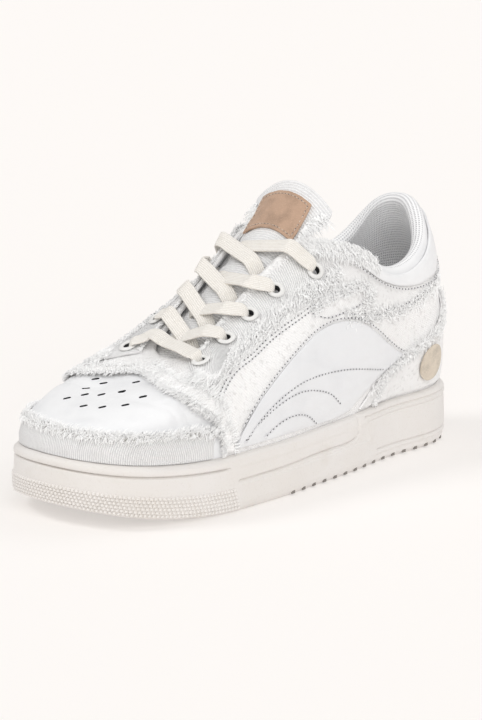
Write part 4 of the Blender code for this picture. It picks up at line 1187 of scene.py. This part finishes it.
def make_tongue():
    """A padded sleeve: round its section along u, up its length along v, closed at both ends."""
    around, rows = 96, 110
    piece, u, v = sheet("tongue_padded", around, rows)
    back = TONGUE_BACK[0] + (TONGUE_BACK[-1] - TONGUE_BACK[0]) * v
    turn = 2 * math.pi * u
    share, under = np.cos(turn), np.sin(turn) < -1e-6
    half, thick = tongue_half(back, v), TONGUE_CURVE(back)[..., 4]
    round_top = np.sqrt(np.clip(1 - np.clip((v - 0.93) / 0.07, 0, 1) ** 2 * 0.16, 0, 1))
    over = half * share * round_top
    edge = np.sqrt(np.clip(1 - share**2, 0, 1))
    end = np.sqrt(np.clip(1 - np.clip((v - 0.90) / 0.10, 0, 1) ** 4, 0, 1)) * 0.8 + 0.2
    sink = 0.0007 * (1 - edge) + 0.0006 * window(v, 0.60, 0.66, 0.02)
    depth = np.where(under, sink + thick * (0.25 + 0.75 * edge) * end, sink)
    points = tongue_face(back, over) - tongue_normal(back, over) * depth[:, None]
    lay(piece, points, np.stack([over, back], axis=-1))
    paint(piece, (TONGUE_CLOTH, LINING), (under & (np.abs(share) < 0.9)).astype(int))
    close(piece)
    done(piece, TONGUE_CLOTH, "tongue", angle=60)


def make_tongue_fringe():
    """Loose threads along the tongue's raw sides, above the top eyelets."""
    count, step = 1300, np.linspace(0, 1, THREAD_POINTS)[None, :, None]
    v = CHANCE.uniform(0.70, 0.96, count)
    back = TONGUE_BACK[0] + (TONGUE_BACK[-1] - TONGUE_BACK[0]) * v
    side = np.where(CHANCE.uniform(0, 1, count) < 0.6, 1.0, -1.0)
    over = side * tongue_half(back, v) * CHANCE.uniform(0.84, 1.0, count)
    root = tongue_face(back, over) + tongue_normal(back, over) * 0.0002
    way = np.stack([side, np.zeros(count), np.full(count, -0.55)], axis=-1)
    way += CHANCE.normal(0, 0.38, (count, 3))
    length = (0.0050 * CHANCE.uniform(0.35, 1.0, count))[:, None, None]
    points = root[:, None] + way[:, None] * length * step - [0, 0, 0.3] * length * step**2
    spun("tongue_fringe", points, 0.00020, THREAD)


def make_label():
    """The bare patch on the tongue, with a row of stitches inside its edge."""
    low, high, wide, inset = 0.0195, 0.0375, 0.0165, 0.0015
    piece, u, v = sheet("label_patch", 48, 30)
    back, over = low + (high - low) * v, 2 * wide * (u - 0.5)
    lift_off = CLEAR + LABEL_THICKNESS + 0.00012 * np.sin(over * 900) * np.sin(back * 700)
    points = tongue_face(back, over) + tongue_normal(back, over) * lift_off[:, None]
    lay(piece, points, np.stack([over, back], -1))
    turn_over(piece)
    walled(piece, LABEL_THICKNESS)
    done(piece, LABEL, "tongue_label")
    frames = []
    side, foot, top = wide - inset, low + inset, high - inset
    corners = np.array([(-side, foot), (side, foot), (side, top), (-side, top)])
    for start, run in zip(corners, np.roll(corners, -1, axis=0) - corners):
        count = int(math.hypot(*run) / 0.0021)
        for share in (np.arange(count) + 0.5) / count:
            x, y = start + run * share
            normal = tongue_normal(y, x)
            ahead = tongue_face(y + run[1] * 0.01, x + run[0] * 0.01) - tongue_face(y, x)
            frames.append(frame_of(tongue_face(y, x) + normal * 0.0016, ahead, normal))
    copies("label_stitches", stitch_model(0.0014, 0.00024), frames, BROWN)
    ends = Matrix.Translation((0.00105, 0, -0.00012))
    # Dark dots at the label stitches' ends: painted shade of the needle holes
    copies("label_holes", hole_model(0.00034), [frame @ ends for frame in frames], NEEDLE_HOLE_SHADE)


def make_eyelets():
    """Ten rings: a profile that is carried round, its flange above the stay and its barrel through it."""
    flange = EYELET_FLANGE - EYELET_BORE
    profile = [(EYELET_BORE, -0.0034), (EYELET_BORE, 0.0)]
    profile += [(EYELET_BORE + flange * reach, rise) for reach, rise in (
        (0.05, 0.00045), (0.25, 0.00085), (0.50, 0.00096), (0.80, 0.00070), (1.0, 0.0001), (0.92, -0.0002))]
    profile += [(EYELET_BARREL, -0.0002), (EYELET_BARREL, -0.0034)]
    model = added(bpy.ops.mesh.primitive_circle_add, vertices=36, radius=EYELET_BORE)
    bpy.ops.object.mode_set(mode="EDIT")
    bpy.ops.mesh.select_all(action="SELECT")
    bpy.ops.transform.translate(value=(0, 0, profile[0][1]))
    for (r0, z0), (r1, z1) in zip(profile, profile[1:] + profile[:1]):
        bpy.ops.mesh.extrude_edges_move(TRANSFORM_OT_translate={"value": (0, 0, z1 - z0)})
        bpy.ops.transform.resize(value=(r1 / r0, r1 / r0, 1), center_override=(0, 0, 0))
    bpy.ops.mesh.select_all(action="SELECT")
    bpy.ops.mesh.remove_doubles(threshold=0.00001)
    bpy.ops.mesh.normals_make_consistent(inside=False)
    bpy.ops.object.mode_set(mode="OBJECT")
    # The bores take the near-black painted shade
    for surface in (ENAMEL, SHADE):
        model.data.materials.append(surface.material)
    for face in model.data.polygons:
        face.material_index = int(math.hypot(*face.center[:2]) < EYELET_BORE + 0.00005)
    for name, place, height in eyelet_places():
        piece = bpy.data.objects.new(name + "_ring", model.data.copy())
        piece.data.transform(frame_at(place, height, EYELET_SEAT))
        bpy.context.scene.collection.objects.link(piece)
        done(piece, ENAMEL, name, angle=50)
    bpy.data.objects.remove(model)


def woven(name, path, facing, width):
    """A flat lace through a path; width gives its share of the full width at each point of the path."""
    path, facing = np.array(path, float), np.array(facing, float)
    knots = run_along(path)
    knots /= knots[-1]
    count, sides = 120, 14
    piece, u, v = sheet(name, count, sides)
    shares = np.linspace(0, 1, count + 1)
    line, up = spline(knots, path)(shares), spline(knots, facing)(shares)
    wide = np.interp(shares, knots, width)
    wide = np.convolve(np.pad(wide, 4, mode="edge"), np.ones(9) / 9, "valid")
    ahead = np.gradient(line, axis=0)
    side = unit(np.cross(ahead, up))
    up = unit(np.cross(side, ahead))
    turn, i = 2 * math.pi * v, np.rint(u * count).astype(int)
    flat = np.sign(np.cos(turn)) * np.abs(np.cos(turn)) ** 0.5
    deep = np.sign(np.sin(turn)) * np.abs(np.sin(turn)) ** 0.7
    half, high = LACE_WIDTH * 0.54 * wide[i], 0.00065 + 0.0007 * (1 - wide[i])
    edge_wave = 1 + 0.015 * np.sin(shares[i] * 260)
    points = line[i] + side[i] * (half * flat * edge_wave)[:, None] + up[i] * (high * deep)[:, None]
    lay(piece, points, np.stack([run_along(line)[i], half * flat], axis=-1))
    close(piece)
    return piece


EYELET_SEAT = 4 * CLEAR + OVERLAY
LACE_SEAT = EYELET_SEAT + 0.0021
# Where each crossing folds over the inner edge of the throat, between its two eyelets
LACE_FOLDS = (0.72, 0.46, 0.12, 0.10)


def over_rim(crossing):
    """Where a lace lies over the throat's edge."""
    return off_skin(crossing, 1.0, LACE_SEAT - 0.0006) + [0, 0, 0.0020]


def into_eyelet(place, height, before, back=0.0):
    """The lace's last points: from a point before it, onto the eyelet and down its bore."""
    normal = skin_normal(place, height)
    hole = off_skin(place, height, 0.0)
    toward = before - hole
    toward = unit(toward - normal * (toward @ normal))
    return [(hole + normal * out + toward * away, face, wide) for away, out, face, wide in (
        (0.0064, LACE_SEAT, normal, 1.0), (0.0036, LACE_SEAT - 0.0001, normal, 0.95),
        (0.0019 + back, EYELET_SEAT + 0.0006, normal - toward, 0.62),
        (0.0012 + back / 2, 0.0005, -toward, 0.40), (0.0010, -0.0050, -toward, 0.36),
    )]


def taut(first, rim, lowest, count=17):
    """Points of a lace pulled straight from first to rim over whatever stands higher between them."""
    share = np.linspace(0, 1, count)
    line = np.array([first * (1 - s) + rim * s for s in share])
    line[1:-1, 2] = [max(z, lowest(x, y)) for x, y, z in line[1:-1]]
    held = [0]
    for k in range(1, count):
        while len(held) > 1:
            a, b = held[-2], held[-1]
            if (line[b, 2] - line[a, 2]) * (k - a) > (line[k, 2] - line[a, 2]) * (b - a):
                break
            held.pop()
        held.append(k)
    line[:, 2] = np.interp(np.arange(count), held, line[held, 2])
    return line


def above_tongue(x, y, more=0.0):
    """Where a lace rests on the tongue, and the way that it faces there."""
    over = x - TONGUE_CURVE(y)[1]
    normal = tongue_normal(y, over)
    return tongue_face(y, over) + normal * (0.0006 + LACE_THICKNESS / 2 + more), normal


def strand(name, start, finish, over, share):
    """A lace from under one eyelet, across the tongue and the other side's edge, into the next eyelet."""
    begin = skin(start[0], 0.99)
    crossing = share * finish[0] + (1 - share) * (1 - start[0])
    rim = over_rim(crossing)
    toward = math.copysign(1, begin[0])
    first, facing = above_tongue(begin[0] - toward * 0.0095, begin[1] + 0.0035)
    tuck, _ = above_tongue(begin[0] - toward * 0.0035, begin[1] + 0.0015, -0.0035)
    inside = off_skin(start[0], start[1] + 0.03, -WALL - 0.0022)
    path = [(inside, skin_normal(*start), 0.8), (tuck, facing, 0.9), (first, facing, 1.0)]
    line = taut(first, rim, lambda x, y: above_tongue(x, y, over + 0.0006)[0][2])
    for place in line[2:-1:3]:
        facing = above_tongue(place[0], place[1])[1] * 0.5 + [0, -0.25, 0.45]
        path.append((place + [0, 0, over * 0.5], facing, 1.0))
    path.append((rim, skin_normal(crossing, 0.98), 1.0))
    path += into_eyelet(*finish, rim)
    return woven(name, *zip(*path))


def make_laces():
    """A straight bar between the lowest eyelets, then two stretches to each pair above them."""
    low = EYELETS[0]
    crossing = 0.88 * low.inner + 0.12 * 0.5
    rim, far = over_rim(crossing), off_skin(low.outer, low.height, LACE_SEAT)
    run = [rim + (far - rim) * share for share in (0.25, 0.5, 0.75)]
    front = skin_normal(0.5, 0.97)
    bar = into_eyelet(low.inner, low.height, rim)[::-1]
    bar += [(rim, skin_normal(crossing, 0.98), 1.0)] + [(point, front, 1.0) for point in run]
    bar += into_eyelet(low.outer, low.height, run[-1], 0.0008)
    done(woven("lace_bar_cotton", *zip(*bar)), COTTON, "lace_bar", angle=70)
    for k, (a, b) in enumerate(zip(EYELETS[:-1], EYELETS[1:]), 1):
        for layer, start, finish, over, share in (
            ("over", (a.outer, a.height), (b.inner, b.height), 0.0013, LACE_FOLDS[k - 1]),
            ("under", (a.inner, a.height), (b.outer, b.height), 0.0, 0.5),
        ):
            piece = strand(f"lace_{k}_{layer}", start, finish, over, share)
            done(piece, COTTON, f"lace_crossing_{k}", angle=70)


def make_insole():
    rows = 24
    piece, u, v = sheet("insole_sock", 240, rows)
    q, row = u % 1.0, np.rint(v * rows).astype(int)
    foot, points = (
        ring(q, -RIM_WIDTH - WALL - 3 * CLEAR, lambda a: cup_floor(a) + CLEAR + thick)
        for thick in (0.0, INSOLE_THICKNESS))
    inward = np.clip((row - 1) / (rows - 2), 0, 1)
    points[:, 0] *= 1 - inward
    points[:, 2] -= 0.0010 * smooth(inward, 0.0, 0.8) - 0.0008 * (1 - smooth(inward, 0.0, 0.2))
    points[row == 0] = foot[row == 0]
    lay(piece, points, points[:, :2])
    merge(piece)
    done(piece, SOCK, "insole")


def make_disc():
    """The round patch, on the counter where it covers the panel's end."""
    piece = added(bpy.ops.mesh.primitive_circle_add, vertices=64, radius=DISC_RADIUS, fill_type="TRIFAN")
    piece.name = piece.data.name = "side_disc_leather"
    edit(piece, bpy.ops.mesh.subdivide, number_cuts=5)
    place, height, out = 0.088, 0.215, 0.0007 + 2 * OVERLAY + CLEAR
    per_place = np.linalg.norm(skin(place + 0.001, height) - skin(place - 0.001, height)) / 0.002
    per_height = np.linalg.norm(skin(place, height + 0.01) - skin(place, height - 0.01)) / 0.02
    x, y = np.array([v.co[:2] for v in piece.data.vertices]).T
    points = off_skin(place - x / per_place, height + y / per_height, out)
    piece.data.vertices.foreach_set("co", points.ravel())
    walled(piece, OVERLAY)
    done(piece, DISC, "side_disc")


def make_stage():
    floor = added(bpy.ops.mesh.primitive_plane_add, size=8)
    floor.name = "studio_floor"
    surface = Surface("studio_floor", (0.570, 0.552, 0.537), 0.9, None)
    surface.put("Emission Color", (1.0, 0.968, 0.942, 1))
    surface.put("Emission Strength", 0.385)
    floor.data.materials.append(surface.material)
    world = bpy.data.worlds.new("studio")
    bpy.context.scene.world = world
    world.use_nodes = True
    sky = world.node_tree.nodes["Background"]
    sky.inputs["Color"].default_value = (1.0, 0.985, 0.97, 1)
    sky.inputs["Strength"].default_value = 0.55
    for name, way, soft, power in (
        ("key", (-0.9, -1.1, 1.7), 22, 0.82), ("fill", (1.6, -0.9, 1.1), 50, 1.22),
        ("back", (0.3, 1.5, 1.6), 40, 0.40),
    ):
        light = added(bpy.ops.object.light_add, type="SUN", location=way)
        light.name, light.data.angle, light.data.energy = name, math.radians(soft), power
        light.rotation_euler = (-Vector(way)).to_track_quat("-Z", "Y").to_euler()


def make_camera():
    """The photograph's own viewpoint, aimed at the whole shoe."""
    azimuth, elevation, far, middle = math.radians(43.18), math.radians(13.42), 1.9, (0, 0, 0.04636)
    flat = math.cos(elevation)
    way = Vector((math.sin(azimuth) * flat, -math.cos(azimuth) * flat, math.sin(elevation)))
    place = Vector(middle) + way * far
    camera = bpy.data.objects.new("camera", bpy.data.cameras.new("camera"))
    bpy.context.scene.collection.objects.link(camera)
    camera.location = place
    camera.rotation_euler = (Vector((-0.001, 0, 0.0585)) - place).to_track_quat("-Z", "Y").to_euler()
    camera.data.sensor_width, camera.data.lens = 36, 184
    bpy.context.scene.camera = camera
    bpy.context.scene.view_settings.view_transform = "Standard"


make_camera()
make_stage()
shell = make_upper()
cutters = slot_cutters()
cut(shell, cutters)
done(shell, VAMP, "upper", angle=45)
make_overlays(cutters)
bpy.data.objects.remove(cutters)
make_sole()
make_knurl()
make_notches()
make_insole()
make_tongue()
make_tongue_fringe()
make_label()
make_eyelets()
make_laces()
make_disc()
make_stitches()
make_frays()

import json
